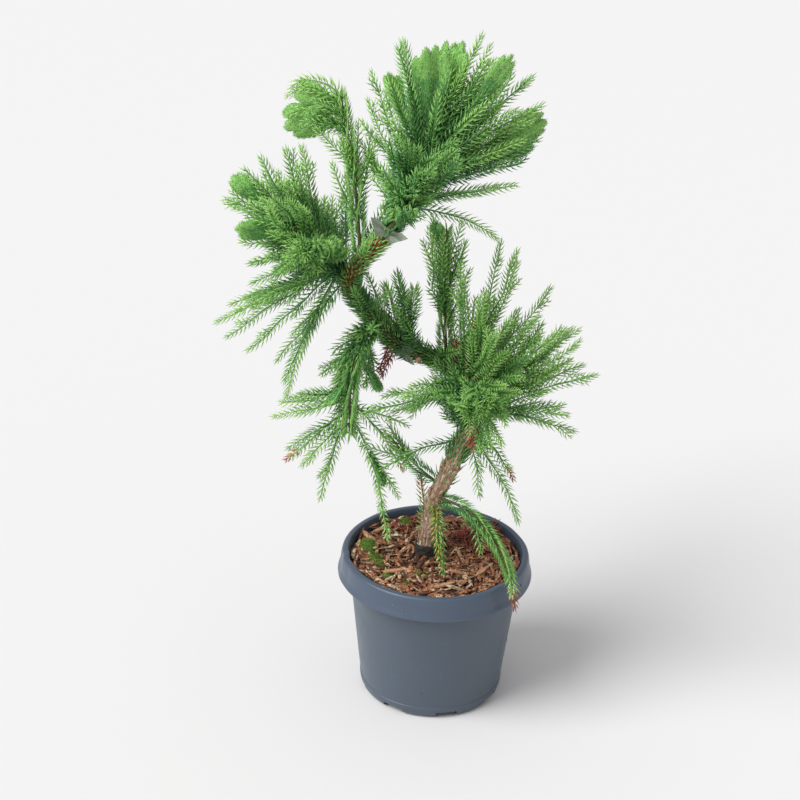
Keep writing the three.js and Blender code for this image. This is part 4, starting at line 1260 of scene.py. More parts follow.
def lay_chips():
    """The large splinters, ragged at both ends."""
    rng = random.Random(12)
    section = [(-1, -1), (0, -1.2), (1, -0.8), (1.1, 0.4), (0.3, 1.1), (-0.9, 0.8)]
    steps = 8
    limbs = []
    for x, y, heading, length, wide, thick in LARGE_CHIPS:
        way, side = pointing(heading, rng.uniform(-9, 9)), pointing(heading + 90, 0)
        middle = Vector((x, y, mix_height(x, y) + LIE["chips"]))
        rings = []
        for k in range(steps + 1):
            along = 2 * k / steps - 1
            narrow = 1 - 0.55 * along ** 4 + 0.22 * rippled(x, along * 2, 4)
            crook = 0.8 * rippled(y, along * 1.5, 6)
            rings.append([
                middle + way * (along * length / 2 + 1.5 * rippled(x, 2 * a, 9 * along * b))
                + side * (a * narrow * wide / 2 + crook)
                + way.cross(side) * b * narrow * thick / 2
                for a, b in section
            ])
        run = [length * k / steps for k in range(steps + 1)]
        limbs.append((rings, run, [way] * len(run) * len(section), 2 * wide))
    chips = wooden("large_chips", limbs)
    for face in chips.data.polygons:
        face.use_smooth = False
    # Split bark: pale fresh fibre, streaked with the browner outside
    split = fibrous_bark("split_bark", linear("#cfa17c"), linear("#7d4d35"))
    keep(chips, [split])


def drop_flecks():
    """Flecks of mix that stick to the outside of the pot."""
    rng = random.Random(5)
    places, faces = [], []
    sides = 7
    for turn, height in SOIL_FLECKS:
        if height > 126:
            radius = 92.4 - (height - 139) * 0.15
        else:
            radius = interpolate(POT_INSIDE, height) + 1.5
        out, side = pointing(turn, 4), pointing(turn + 90, 0)
        up = out.cross(side)
        long, wide = rng.uniform(0.9, 1.7), rng.uniform(0.6, 1.0)
        lean = rng.uniform(0, math.pi)
        first = len(places)
        centre = pointing(turn, 0) * radius + Vector((0, 0, height))
        for i in range(sides):
            turned = math.tau * i / sides + rng.uniform(-0.3, 0.3)
            a, b = long * math.cos(turned), wide * math.sin(turned)
            shift = side * (a * math.cos(lean) - b * math.sin(lean))
            shift += up * (a * math.sin(lean) + b * math.cos(lean))
            places += [centre + shift - out * 0.5, centre + shift * 0.8 + out * 0.35]
        inner, outer = (range(first + k, len(places), 2) for k in (0, 1))
        faces += [*band(inner, outer), tuple(outer), tuple(reversed(inner))]
    flecks = new_piece("mix_flecks", places, faces)
    # Dried mix: the same dull fibre with its painted shade, greyed by dust
    keep(flecks, [shredded_bark("#86786c", "dry")])


class TOPIARY_OT_mulch(bpy.types.Operator):
    """Makes the potting mix, its mulch of bark splinters and large chips, the moss, and the flecks
    of mix on the pot
    """

    bl_idname = "topiary.mulch"
    bl_label = "Mix and mulch"

    def execute(self, context):
        settings = context.scene.topiary_mulch
        mix = make_mix(settings)
        strew_chips(settings, mix)
        grow_moss(settings)
        lay_chips()
        drop_flecks()
        return {"FINISHED"}


# Wood


class TopiaryWoodSettings(bpy.types.PropertyGroup):
    """Trunk and boughs."""

    relief: amount(
        "Bark relief", "Depth of the bark's ridges as a part of the radius", 0.24, max=0.4,
        subtype="FACTOR")
    old_bark: colour("Old bark", "Tan grey outer bark of the foot", "#cbb29b")
    inner_bark: colour("Inner bark", "Red brown between the flakes", "#8a6045")
    young_bark: colour("Young bark", "Olive green of young boughs", "#6d7044")
    flake_spacing: distance("Flake spacing", "Least distance between two loose flakes", 2.2, 1)


def fibrous_bark(name, pale, dark, young=None):
    """Cedar bark: soft, dull and fibrous, in lengthwise strips 1 mm wide and 11 mm long, drawn
    coarser than real because finer ones can't show, with patches of 6 by 22 mm. Where young
    is given, the bark from 270 mm up turns to that fresher colour."""
    made, tree, surface = finish(name, roughness=0.88)
    node = partial(add, tree)
    spread = node("ShaderNodeUVMap", uv_map="bark_run")
    strips = node("ShaderNodeMapping", {"Vector": spread, "Scale": (900.0, 90.0, 1.0)})
    fibre = node("ShaderNodeTexNoise", {
        "Vector": strips, "Scale": 1.0, "Detail": 5.0, "Roughness": 0.65, "Distortion": 0.6,
    })
    patches = node("ShaderNodeMapping", {"Vector": spread, "Scale": (160.0, 45.0, 1.0)})
    patches = node("ShaderNodeTexNoise", {"Vector": patches, "Scale": 1.0, "Detail": 3.0})
    both = node("ShaderNodeMath", {0: fibre, 1: patches}, "ADD")
    share = node("ShaderNodeMapRange", {"Value": both, "From Min": 0.78, "From Max": 1.16})
    hue = node("ShaderNodeMix", {0: share, 6: dark, 7: pale}, data_type="RGBA").outputs[2]
    if young:
        place = node("ShaderNodeTexCoord").outputs["Object"]
        height = node("ShaderNodeSeparateXYZ", {0: place}).outputs["Z"]
        above = node("ShaderNodeMapRange", {"Value": height, "From Min": 0.27, "From Max": 0.34})
        fresh = node("ShaderNodeMix", {0: share, 6: scaled(young, 0.45), 7: young},
                     data_type="RGBA").outputs[2]
        hue = node("ShaderNodeMix", {0: above, 6: hue, 7: fresh}, data_type="RGBA").outputs[2]
    coat(tree, surface, hue, fibre, 0.8, 0.0008)
    return made


def flake_tree(finishes):
    """Loose flakes: thin strips that lie along the trunk and lift a little at one end."""
    tree, sizes, node = started_tree("bark_flakes", {"Spacing": 0.0042, "Longest": 0.0095})
    strewn = node("GeometryNodeDistributePointsOnFaces", {
        "Mesh": sizes["Geometry"], "Distance Min": sizes["Spacing"],
        "Density Max": TRIES["flakes"], "Density Factor": marked(node, ["old"])["old"], "Seed": 6,
    }, distribute_method="POISSON")
    way = marked(node, ["way"], "FLOAT_VECTOR")["way"]
    facing = node("FunctionNodeAlignRotationToVector", {"Vector": way}, axis="Z")
    facing = node("FunctionNodeAlignRotationToVector", {
        "Rotation": facing, "Vector": strewn.outputs["Normal"],
    }, axis="X", pivot_axis="Z")
    lift, length, width = (
        node("FunctionNodeRandomValue", {2: low, 3: high, 8: seed}).outputs[1]
        for low, high, seed in ((-0.02, 0.6, 7), (0.35, 1.0, 8), (0.0007, 0.0022, 9))
    )
    facing = spun(node, facing, (0, 1, 0), lift)
    length = node("ShaderNodeMath", {0: length, 1: sizes["Longest"]}, "MULTIPLY")
    size = node("ShaderNodeCombineXYZ", {0: 0.0006, 1: width, 2: length})
    strip = node("GeometryNodeMeshCube", {
        "Size": (1, 1, 1), "Vertices X": 2, "Vertices Y": 2, "Vertices Z": 4,
    })
    pick = node("FunctionNodeRandomValue", {4: 0, 5: len(finishes) - 1, 8: 10},
                data_type="INT").outputs[2]
    return copies(tree, strewn, strip, facing, size, pick, finishes, (500.0, 1.0, 0.0018))


def wooden(name, limbs):
    """Joins limbs into one piece with a UV map that runs along the bark."""
    places, faces, uvs, ways = [], [], [], []
    for rings, along, way, girth in limbs:
        first = len(places)
        spots, sides, spread = tube(rings, along, girth)
        places += spots
        faces += [tuple(first + k for k in face) for face in sides]
        uvs += spread
        ways += way + [way[0], way[-1]]
    piece = new_piece(name, places, faces)
    layer = piece.data.uv_layers.new(name="bark_run")
    layer.data.foreach_set("uv", [part for uv in uvs for part in uv])
    mark(piece, "way", ways, "FLOAT_VECTOR")
    smooth(piece)
    return piece


class TOPIARY_OT_wood(bpy.types.Operator):
    """Makes the spiral trunk, its loose bark flakes and the boughs"""

    bl_idname = "topiary.wood"
    bl_label = "Trunk and boughs"

    def execute(self, context):
        settings = context.scene.topiary_wood

        def trunk_half(share, place):
            return interpolate(TRUNK_TAPER, place.z)

        shares = [k / TRUNK_SAMPLES for k in range(TRUNK_SAMPLES + 1)]
        solid = limb_solid(PATHS["trunk"], shares, trunk_half, TRUNK_SIDES, settings.relief,
                           settings.relief * 0.75)
        piece = wooden("trunk_bark", [(*solid, TRUNK_GIRTH)])
        # Loose flakes thin out from 270 mm up, and end at 330 mm
        heights = [spot.co.z for spot in piece.data.vertices]
        mark(piece, "old", [min(max((0.33 - z) / 0.06, 0), 1) for z in heights])
        fresh = settings.young_bark
        old = fibrous_bark("flaky_cedar_bark", settings.old_bark, settings.inner_bark, fresh)
        keep(piece, [old], ["trunk"])

        # Loose flakes: dry, dull strips of dead bark, most of them paler than what is under
        finishes = [
            finish(f"loose_flake_{k}", base_color=linear(code), roughness=0.9)[0]
            for k, code in enumerate(("#ccb7a2", "#b69a82", "#96735b", "#d8c8b6"))
        ]
        flakes = twin("bark_flakes", piece)
        keep(grown(flakes, flake_tree(finishes), {"Spacing": settings.flake_spacing}))

        limbs = []
        for name, row in BOUGHS.items():
            thickest, thinnest = row[7:9]

            def bough_half(share, place, thickest=thickest, thinnest=thinnest):
                collar = 1 + 0.45 * math.exp(-share * 28)
                return (thickest + (thinnest - thickest) * share) * collar * BOUGH_SLIM

            shares = [k / BOUGH_SAMPLES for k in range(BOUGH_SAMPLES + 1)]
            solid = limb_solid(PATHS[name], shares, bough_half, BOUGH_SIDES, 0.07, 0.07)
            limbs.append((*solid, math.tau * thickest))
        shares = [k / LIMB_STEPS for k in range(LIMB_STEPS + 1)]
        solid = limb_solid(row_path(STUB), shares, lambda share, place: STUB_HALF_THICKNESS,
                           STUB_SIDES, 0.06, 0.05)
        limbs.append((*solid, STUB_GIRTH))
        boughs = wooden("bough_bark", limbs)
        # Freshly cut wood: pale and pinkish, on the end of the stub, which was added last
        cut = finish("cut_wood", base_color=linear("#c69a86"), roughness=0.7)[0]
        # Young bark: smoother and greener, with the same fibre
        young = fibrous_bark("young_cedar_bark", fresh, scaled(fresh, 0.45))
        keep(boughs, [young, cut], BOUGHS)
        for face in boughs.data.polygons[-STUB_SIDES:]:
            face.material_index = 1
        return {"FINISHED"}


# Sleeve and ties


class TopiaryBindingSettings(bpy.types.PropertyGroup):
    """What is wrapped round the trunk."""

    sleeve_colour: colour("Sleeve colour", "Dull black of the foot sleeve", "#1a1c1a")
    tape_colour: colour("Tape colour", "Grey green of the stretch tape", "#a9b5a0")
    tape_thickness: distance("Tape thickness", "Thickness of one layer of tape", 0.35, 0.1)


class TOPIARY_OT_sleeve(bpy.types.Operator):
    """Makes the wrinkled black sleeve round the trunk's foot"""

    bl_idname = "topiary.sleeve"
    bl_label = "Foot sleeve"

    def execute(self, context):
        settings = context.scene.topiary_binding
        columns, rows = SLEEVE["columns"], SLEEVE["rows"]
        outer, inner = [], []
        for k in range(rows + 1):
            height = SLEEVE["low"] + (SLEEVE["high"] - SLEEVE["low"]) * k / rows
            place, ahead, side = sample_at(PATHS["trunk"], share_at_height(height))
            up = ahead.cross(side)
            half = interpolate(TRUNK_TAPER, height)
            lip = min(k, rows - k) / rows
            for ring, wall in ((outer, SLEEVE["wall"]), (inner, 0.1)):
                spots = []
                for i in range(columns):
                    turn = math.tau * i / columns
                    c, s = math.cos(turn), math.sin(turn)
                    # Coarse and fine wrinkles, and a bulge between the two lips
                    fold = 0.8 * rippled(2.4 * c, 2.4 * s, height / 2.4)
                    fold += 0.3 * rippled(7 * c, 7 * s, height / 5)
                    bulge = 0.5 * math.sin(math.pi * min(lip * 4, 0.5))
                    out = half + 0.3 + wall + (fold + bulge) * wall / SLEEVE["wall"]
                    rise = 0.9 * rippled(1.5 * c, 1.5 * s, 7) * (k / rows)
                    spots.append(place + (side * c + up * s) * out + ahead * rise)
                ring.append(spots)
        rings = outer + inner[::-1]
        places = [spot for ring in rings for spot in ring]
        runs = [range(k * columns, (k + 1) * columns) for k in range(len(rings))]
        faces = [face for k, low in enumerate(runs)
                 for face in band(low, runs[(k + 1) % len(runs)])]
        sleeve = new_piece("sleeve_wrap", places, faces)
        smooth(sleeve, 50)
        # Black foam rubber: dull, with a faint dusty bloom on its folds
        foam = mottled("black_foam_rubber", settings.sleeve_colour, linear("#3b3d39"),
                       (300.0, 4.0, 0.5), (0.4, 0.0004), roughness=0.75, ior=1.52)
        keep(sleeve, [foam], ["foot_sleeve"])
        return {"FINISHED"}


def ribbon(spots, outs, widths, wall, fold=0, slant=0):
    """A flat band along spots. Each out is the way that its face looks. It is closed all
    round, with the band's thickness. Towards its end it is folded lengthwise and cut aslant."""
    places, faces = [], []
    count = len(spots)
    # Eleven places across each face
    parts = [k / 5 - 1 for k in range(11)]
    for i, (spot, out) in enumerate(zip(spots, outs)):
        ahead = (spots[min(i + 1, count - 1)] - spots[max(i - 1, 0)]).normalized()
        across = ahead.cross(out).normalized() * widths[i] / 2
        out = out.normalized()
        share = i / count
        for side, order in ((1, parts), (-1, parts[::-1])):
            for part in order:
                raised = 0.5 * part * part + fold * math.sin(6 * part + 1) * math.sqrt(share)
                spread = across * part + ahead * slant * part * share
                places.append(spot + spread + out * (side * wall / 2 + raised))
    ring = 2 * len(parts)
    rings = [range(i * ring, (i + 1) * ring) for i in range(count)]
    for low, high in zip(rings, rings[1:]):
        faces += band(low, high)
    return places, [*faces, tuple(reversed(rings[0])), tuple(rings[-1])]


def make_tie(name, tie, wall, made):
    """One tie: its two turns round the trunk, two tails and a knot."""
    place, ahead, side = sample_at(PATHS["trunk"], share_at_height(tie["height"]))
    up = ahead.cross(side)
    half = interpolate(TRUNK_TAPER, tie["height"])
    knot = pointing(tie["heading"], tie["rise"])
    knot_out = (knot - ahead * knot.dot(ahead)).normalized()
    shapes = []
    for lean, shift in TIE_TURNS:
        spots, outs = [], []
        for i in range(TIE_STEPS + 1):
            turn = math.tau * i / TIE_STEPS
            out = side * math.cos(turn) + up * math.sin(turn)
            reach = half * 1.12 + TIE_WALL * 0.6 + abs(shift) * 0.3
            tilt = ahead * (lean * reach * math.sin(turn) + shift)
            reach += 0.25 * rippled(2 * math.cos(turn), 2 * math.sin(turn), shift)
            spots.append(place + out * reach + tilt)
            outs.append(out)
        shapes.append((spots, outs, [tie["width"] * 0.8] * len(spots), wall))
    # The knot's two flared tails
    root = place + knot_out * (half + 1.6)
    for k, (way, long, wide) in enumerate(tie["tails"]):
        way = Vector(way).normalized()
        spots = [
            root + way * long * i / TAIL_STEPS + Vector(TAIL_DROOP) * (i / TAIL_STEPS) ** 2
            for i in range(TAIL_STEPS + 1)
        ]
        outs = [Vector(TAIL_FACE)] * len(spots)
        widths = [wide * (0.3 + 0.7 * min(i / 9, 1)) for i in range(TAIL_STEPS + 1)]
        shapes.append((spots, outs, widths, wall, 1.3, 4.5 - 9 * k))
    # The knot itself: a short tight loop across the band
    spots, outs = [], []
    for i in range(KNOT["steps"] + 1):
        turn = math.tau * i / KNOT["steps"]
        out = knot_out * math.cos(turn) + ahead * math.sin(turn)
        spots.append(root + out * KNOT["radius"])
        outs.append(out)
    shapes.append((spots, outs, [KNOT["width"]] * len(spots), wall))
    places, faces = [], []
    for shape in shapes:
        spots, sides = ribbon(*shape)
        faces += [tuple(len(places) + k for k in face) for face in sides]
        places += spots
    piece = new_piece(f"{name}_tape", places, faces)
    smooth(piece, 60)
    keep(piece, [made], [name])


class TOPIARY_OT_ties(bpy.types.Operator):
    """Makes the two knotted ties of stretch tape"""

    bl_idname = "topiary.ties"
    bl_label = "Tape ties"

    def execute(self, context):
        settings = context.scene.topiary_binding
        colour_of = partial(scaled, settings.tape_colour)
        # Stretch tape: thin grey-green vinyl, half see-through, mottled paler and darker
        tape = mottled("stretch_tape", colour_of(0.42), colour_of(1.1), (260.0, 3.0, 0.5),
                       (0.5, 0.0006), roughness=0.3, ior=1.53, transmission_weight=0.18)
        for name, tie in TIES.items():
            make_tie(name, tie, settings.tape_thickness / MM, tape)
        return {"FINISHED"}


# Foliage


class TopiaryFoliageSettings(bpy.types.PropertyGroup):
    """Needles, twigs and crests."""

    needle_width: distance("Needle width", "Width of a needle of 10 mm", 1.6, 0.2)
    needle_scale: amount("Needle length", "Factor on the length of all needles", 1, max=2)
    fur_spacing: distance(
        "Crest needle spacing", "Least distance between needles of a crest", 1.08, 0.5)
    # Deep green: older needles, and painted shade for the needles deep in the plant's heart
    deep_green: colour("Deep green", "Needles in the heart of the plant", "#36683f")
    dark_green: colour("Dark green", "Older needles", "#5a974f")
    mid_green: colour("Mid green", "Needles of last year", "#86bd62")
    fresh_green: colour("Fresh green", "Needles of this year", "#a0d26f")
    tip_green: colour("Tip green", "Growing tips", "#b8e08a")
    olive: colour("Olive", "Yellowing needles by old wood", "#b9b64f")
    orange: colour("Orange", "Dying needles and young wood", "#c8743f")
    dead: colour("Dead", "Dead red brown sprays", "#a64a3e")
    withered: colour("Withered", "Sprays long dead, on the mulch", "#7c4033")


# Numbered from 0. Living shoots stay below 4, and the first five are green. The darkest greens
# are older needles and also painted shade in the plant's heart, where little light reaches.
SHADES = ("deep_green", "dark_green", "mid_green", "fresh_green", "tip_green", "olive",
          "orange", "dead", "withered")
TWIG_COLOURS = ("#3d5c36", "#4d7540", "#5e8f49", "#74a955", "#86ba60", "#a08a45", "#a8643a",
                "#7d4436", "#54352a")


def needle_finishes(settings):
    """Waxy cedar needles in plain colours, dealt out by spray: a soft sheen, no pattern."""
    return [
        bpy.data.materials.get(f"needle_{name}") or finish(
            f"needle_{name}", base_color=getattr(settings, name), roughness=0.45,
            specular_ior_level=0.5)[0]
        for name in SHADES
    ]


class Thicket:
    """Shoots of one region, kept as chains of edges with the marks that the trees read."""

    def __init__(self):
        self.places, self.edges, self.marks = [], [], {}

    def grow(self, points, thickness, needle, shade, gap, splay=SHOOT_SPLAY, clad=0):
        first = len(self.places)
        last = len(points) - 1
        self.places += points
        self.edges += [(first + i, first + i + 1) for i in range(last)]
        # The five rows give a shoot or slim bough its herringbone
        turn = GOLDEN_ANGLE if thickness[0][1] > THICK_WOOD else FIVE_ROW_ANGLE
        for i in range(last + 1):
            share = i / last
            for name, value in (
                ("thickness", interpolate(thickness, share) * MM),
                ("needle", interpolate(needle, share) * MM), ("shade", interpolate(shade, share)),
                ("gap", gap * MM), ("splay", math.radians(interpolate(splay, share))),
                ("turn", turn), ("clad", float(clad)),
            ):
                self.marks.setdefault(name, []).append(value)

    def piece(self, name):
        made = new_piece(name, self.places, [], self.edges)
        for label, values in self.marks.items():
            mark(made, label, values)
        return made


def style_of(name):
    """The style of a mass, by the longest name that fits."""
    return Style(*STYLES[max((key for key in STYLES if name.startswith(key)), key=len)])


def girth_at(row, share):
    """Half width and half thickness of a spray at a share of it."""
    outline = OUTLINES[row.outline]
    return row.wide * interpolate(outline, share), row.thick * interpolate(outline, share, 2)


def lane(path, row, across_part, through_part, reach, rng):
    """A shoot that runs within a spray, at a part of its width and thickness."""
    steps = max(5, int(row.length * reach / 8))
    crook = rng.uniform(0, 100)
    points = []
    for i in range(steps + 1):
        share = reach * i / steps
        place, _, across, through = rolled_frame(path, share, row.roll)
        wide_here, thick_here = girth_at(row, share)
        opened = min(share * 3, 1)
        sway, swell = (0.03 * row.length * rippled(crook, 3 * share, k) * opened for k in (0, 9))
        points.append(
            place + across * (across_part * wide_here * opened + sway)
            + through * (through_part * thick_here * opened + swell)
        )
    return points


def leaving(path, share, turned, angle, up, length, steps):
    """The way of a shoot that leaves another one at an angle and bends forward."""
    place, ahead, side = sample_at(path, share)
    out = side * math.cos(turned) + ahead.cross(side) * math.sin(turned)
    angle = math.radians(angle)
    way = ahead * math.cos(angle) + out * math.sin(angle)
    aim = (ahead + Vector((0, 0, up))).normalized()
    points = [place.copy()]
    for i in range(steps):
        bent = way.lerp(aim, 0.5 * (i + 0.5) / steps).normalized()
        points.append(points[-1] + bent * length / steps)
    return points


def flat_path(points):
    """Samples of a shoot whose sides lie level."""
    return carried_along(points, Vector((0, 0, 1)).cross(points[-1] - points[0]))


def side_shoots(thicket, points, style, shade, rng):
    """Side shoots that leave a shoot by turns to its two sides and bend forward."""
    if not style.spacing:
        return
    length = sum((b - a).length for a, b in zip(points, points[1:]))
    run = LAST_SIDE_SHARE - FIRST_SIDE_SHARE
    count = int(length * run / style.spacing)
    path = flat_path(points)
    for k in range(count):
        share = FIRST_SIDE_SHARE + run * (k + rng.uniform(0.2, 0.8)) / count
        long = style.reach * (1.1 - 0.5 * share) * rng.uniform(0.6, 1.25)
        small = leaving(path, share, math.pi * (k % 2) + rng.gauss(0, 0.5),
                        rng.uniform(32, 48), style.up, long, 4)
        tint = interpolate(shade, share)
        lively = 0.6 if tint < 3.6 else 0.1
        thicket.grow(
            small, ((0, 0.5), (1, 0.3)), ((0, SIDE_NEEDLE), (0.6, SIDE_NEEDLE), (1, 4)),
            ((0, tint), (1, min(tint + lively, max(tint, 3.7)))), SIDE_GAP,
        )


def shoot(thicket, points, style, shade, rng, thickness, dies=None):
    """A leading shoot with its needles and side shoots, brown from the share where it dies."""
    foot, tip = style[:2]
    if dies is not None:
        shade = (shade[0], (dies - 0.06, shade[-1][1]), (dies + 0.04, 6.2), (1, 7))
    thicket.grow(
        points, ((0, thickness), (1, 0.45)),
        ((0, foot), (0.75, (foot + 2 * tip) / 3), (0.96, tip), (1, tip * 0.7)), shade, style.gap,
    )
    side_shoots(thicket, points, style, shade, rng)


def jittered(style, rng):
    """The shades along one shoot, lighter or darker than its neighbours."""
    shift = rng.uniform(-0.6, 0.6)
    return (
        (0, max(style.low + shift * 0.6, 0)), (0.5, (style.low + style.high) / 2 + shift),
        (1, max(min(style.high + shift, 3.9), 0)),
    )


def plume(thicket, path, row, style, rng, dies=None):
    """A leading shoot and the lesser ones that fork from it."""
    points = lane(path, row, 0, 0, 1, rng)
    shoot(thicket, points, style, jittered(style, rng), rng, 1.0, dies)
    leader = carried_along(points, rolled_frame(path, 0, row.roll)[2])
    for k in range(style.forks):
        share = rng.uniform(0.06, 0.36)
        fork = leaving(leader, share, math.pi * (k % 2) + rng.gauss(0, 0.6),
                       rng.uniform(18, 34), style.up * 0.6,
                       row.length * (1 - share) * rng.uniform(0.55, 0.86), 7)
        shoot(thicket, fork, style, jittered(style, rng), rng, 0.8)


def spread(thicket, path, row, style, rng):
    """Shoots side by side in a flat spray."""
    for across in (-1.3, -0.6, 0.1, 0.7, 1.4):
        reach = 1 - 0.16 * abs(across) - rng.uniform(0, 0.12)
        points = lane(path, row, across, rng.uniform(-1, 1), reach, rng)
        shoot(thicket, points, style, jittered(style, rng), rng, 0.9)


def clump(thicket, path, row, style, rng):
    """Shoots that rise from the middle of a mass to its outside, set by the golden angle. The
    last ones close the far end."""
    count = int(math.pi * (row.wide + row.thick) * row.length / FILLER_AREA)
    for k in range(count):
        share = 0.06 + 0.94 * (k + 0.5) / count
        place, ahead, across, through = rolled_frame(path, share, row.roll)
        turn = k * GOLDEN_ANGLE + rng.uniform(-0.3, 0.3)
        cap = math.sqrt(max(1 - max((share - 0.45) / 0.55, 0) ** 2, 0))
        reach = rng.uniform(0.7, 1.2) * cap
        wide_here, thick_here = (half * reach for half in girth_at(row, share))
        end = place + across * math.cos(turn) * wide_here + through * math.sin(turn) * thick_here
        end += ahead * row.length * rng.uniform(0.05, 0.22) * (1 - 0.6 * share)
        root = sample_at(path, max(share - 0.36, 0))[0]
        way = end - root
        lifted = Vector((0, 0, style.up)) * way.length * 0.5
        steps = 6
        points = [
            root + way * (i / steps) + lifted * ((i / steps) ** 2 - i / steps)
            for i in range(steps + 1)
        ]
        thicket.grow(
            points, ((0, 0.8), (1, 0.4)), ((0, 4), (0.3, style.foot), (1, style.tip)),
            jittered(style, rng), style.gap,
        )


def crest_shoots(thicket, path, row, style, rng, begins):
    """The leafy foot of a crest, and the shoots along its two margins."""
    shoot(thicket, lane(path, row, 0, 0, min(begins + 0.2, 0.85), rng), style,
          jittered(style, rng), rng, 1.2)
    bare = style._replace(spacing=0, gap=1.1)
    for across, through, reach in CREST_LANES:
        reach = max(reach, begins + 0.1)
        shoot(thicket, lane(path, row, across, through, reach, rng), bare, jittered(style, rng),
              rng, 0.8)


def clad(thicket, limb, first, last, length, gap, low, high, splay):
    """Needles on the limb itself."""
    path = PATHS[limb]
    start, end = share_on(limb, first), share_on(limb, last)
    steps = 40
    spots = [sample_at(path, start + (end - start) * i / steps)[0] for i in range(steps + 1)]
    if limb == "trunk":
        ends = [interpolate(TRUNK_TAPER, spot.z) for spot in (spots[0], spots[-1])]
    else:
        thickest, thinnest = BOUGHS[limb][7:9]
        ends = [thickest + (thinnest - thickest) * share for share in (start, end)]
    thicket.grow(
        spots, ((0, ends[0]), (1, ends[1])), ((0, length), (1, length * 0.85)),
        ((0, low), (1, high)), gap, ((0, splay), (1, splay - 4)), clad=1,
    )


def region_thicket(region):
    """All the shoots of one region."""
    thicket = Thicket()
    for number, (name, rows) in enumerate(MASSES.items()):
        if not name.startswith(region):
            continue
        style = style_of(name)
        for k, row in enumerate(rows):
            rng = random.Random(1000 * number + k)
            path = row_path(row)
            if row.outline == "clump":
                clump(thicket, path, row, style, rng)
            elif row.outline == "plume":
                plume(thicket, path, row, style, rng, DEAD_TIPS.get((name, k)))
            elif name in CRESTS and k in CRESTS[name][0]:
                crest_shoots(thicket, path, row, style, rng, CRESTS[name][5])
            else:
                spread(thicket, path, row, style, rng)
    for k, (where, *row, low, high) in enumerate(LONE_SHOOTS):
        if where == region:
            rng = random.Random(77 + k)
            row = Spray(*row, 0, 0, 0, 0, "plume")
            points = lane(row_path(row), row, 0, 0, 1, rng)
            style = DRY_SHOOT if low > 6 else PLAIN_SHOOT
            shoot(thicket, points, style, ((0, low), (1, high)), rng, 0.8)
    for where, *row in CLADDING:
        if where == region:
            clad(thicket, *row)
    return thicket


def needle_tree(finishes):
    """Needles set along the shoots, each turned from the last by the angle that the shoot
    holds. They lean out by its splay and bow forward."""
    tree, sizes, node = started_tree("cedar_needles", {
        "Needle Width": 0.001, "Length Factor": 1.0, "Seed": 1,
    })
    marks = marked(node, ("thickness", "needle", "shade", "gap", "splay", "turn"))
    off_turn, off_splay, off_length, off_shade = (
        node("FunctionNodeRandomValue", {2: low, 3: high, 8: seed}).outputs[1]
        for low, high, seed in (
            (-0.1, 0.1, sizes["Seed"]), (0.92, 1.1, 2), (0.9, 1.08, 3), (-0.5, 0.5, 4),
        )
    )
    chains = node("GeometryNodeMeshToCurve", {0: sizes["Geometry"]})
    chains = node("GeometryNodeResampleCurve", {
        "Curve": chains, "Length": marks["gap"],
    }, mode="LENGTH")
    spots = node("GeometryNodeCurveToPoints", {"Curve": chains}, mode="EVALUATED")
    order = node("GeometryNodeInputIndex")
    turn = node("ShaderNodeMath", {0: order, 1: marks["turn"]}, "MULTIPLY")
    turn = node("ShaderNodeMath", {0: turn, 1: off_turn}, "ADD")
    along = spots.outputs["Tangent"]
    facing = node("FunctionNodeAlignRotationToVector", {"Vector": along}, axis="Z")
    facing = spun(node, facing, (0, 0, 1), turn)
    splay = node("ShaderNodeMath", {0: off_splay, 1: marks["splay"]}, "MULTIPLY")
    leaning = spun(node, facing, (0, 1, 0), splay)
    # A needle is rooted just inside the wood
    rooted = node("ShaderNodeMath", {0: marks["thickness"], 1: 0.85}, "MULTIPLY")
    rooted = node("FunctionNodeRotateVector", {
        "Vector": node("ShaderNodeCombineXYZ", {0: rooted}), "Rotation": facing,
    })
    points = node("GeometryNodeSetPosition", {0: spots, "Offset": rooted})
    length = node("ShaderNodeMath", {0: marks["needle"], 1: off_length}, "MULTIPLY")
    length = node("ShaderNodeMath", {0: length, 1: sizes["Length Factor"]}, "MULTIPLY")
    # A needle of 5 mm is 0.8 as wide as one of 10 mm
    width = node("ShaderNodeMath", {0: length, 1: 40.0, 2: 0.6}, "MULTIPLY_ADD")
    width = node("ShaderNodeMath", {0: width, 1: sizes["Needle Width"]}, "MULTIPLY")
    size = node("ShaderNodeCombineXYZ", {0: width, 1: width, 2: length})
    shade = node("ShaderNodeMath", {0: marks["shade"], 1: off_shade}, "ADD")
    shade = node("ShaderNodeClamp", {0: shade, 1: 0.0, 2: float(len(finishes) - 1)})
    shade = node("FunctionNodeFloatToInt", {0: shade}, rounding_mode="ROUND")
    return copies(tree, points, spindle(node, 0.4), leaning, size, shade, finishes)


def twig_tree(finishes):
    """Twigs: thin five-sided stems along the shoots, green while young."""
    tree, sizes, node = started_tree("cedar_twigs", {"Thickness Factor": 1.0})
    marks = marked(node, ("thickness", "clad", "shade"))
    free = node("FunctionNodeCompare", {0: marks["clad"], 1: 0.5},
                data_type="FLOAT", operation="LESS_THAN")
    chains = node("GeometryNodeMeshToCurve", {0: sizes["Geometry"], "Selection": free})
    section = node("GeometryNodeCurvePrimitiveCircle", {"Resolution": 5, "Radius": 1.0})
    girth = node("ShaderNodeMath", {
        0: marks["thickness"], 1: sizes["Thickness Factor"],
    }, "MULTIPLY")
    stems = node("GeometryNodeCurveToMesh", {0: chains, 1: section, 2: girth, 3: True})
    number = node("FunctionNodeFloatToInt", {0: marks["shade"]}, rounding_mode="ROUND")
    stems = node("GeometryNodeStoreNamedAttribute", {
        0: stems, "Name": "finish", "Value": number,
    }, data_type="INT", domain="FACE")
    stems = node("GeometryNodeSetShadeSmooth", {0: stems})
    return ended_tree(tree, stems, finishes)


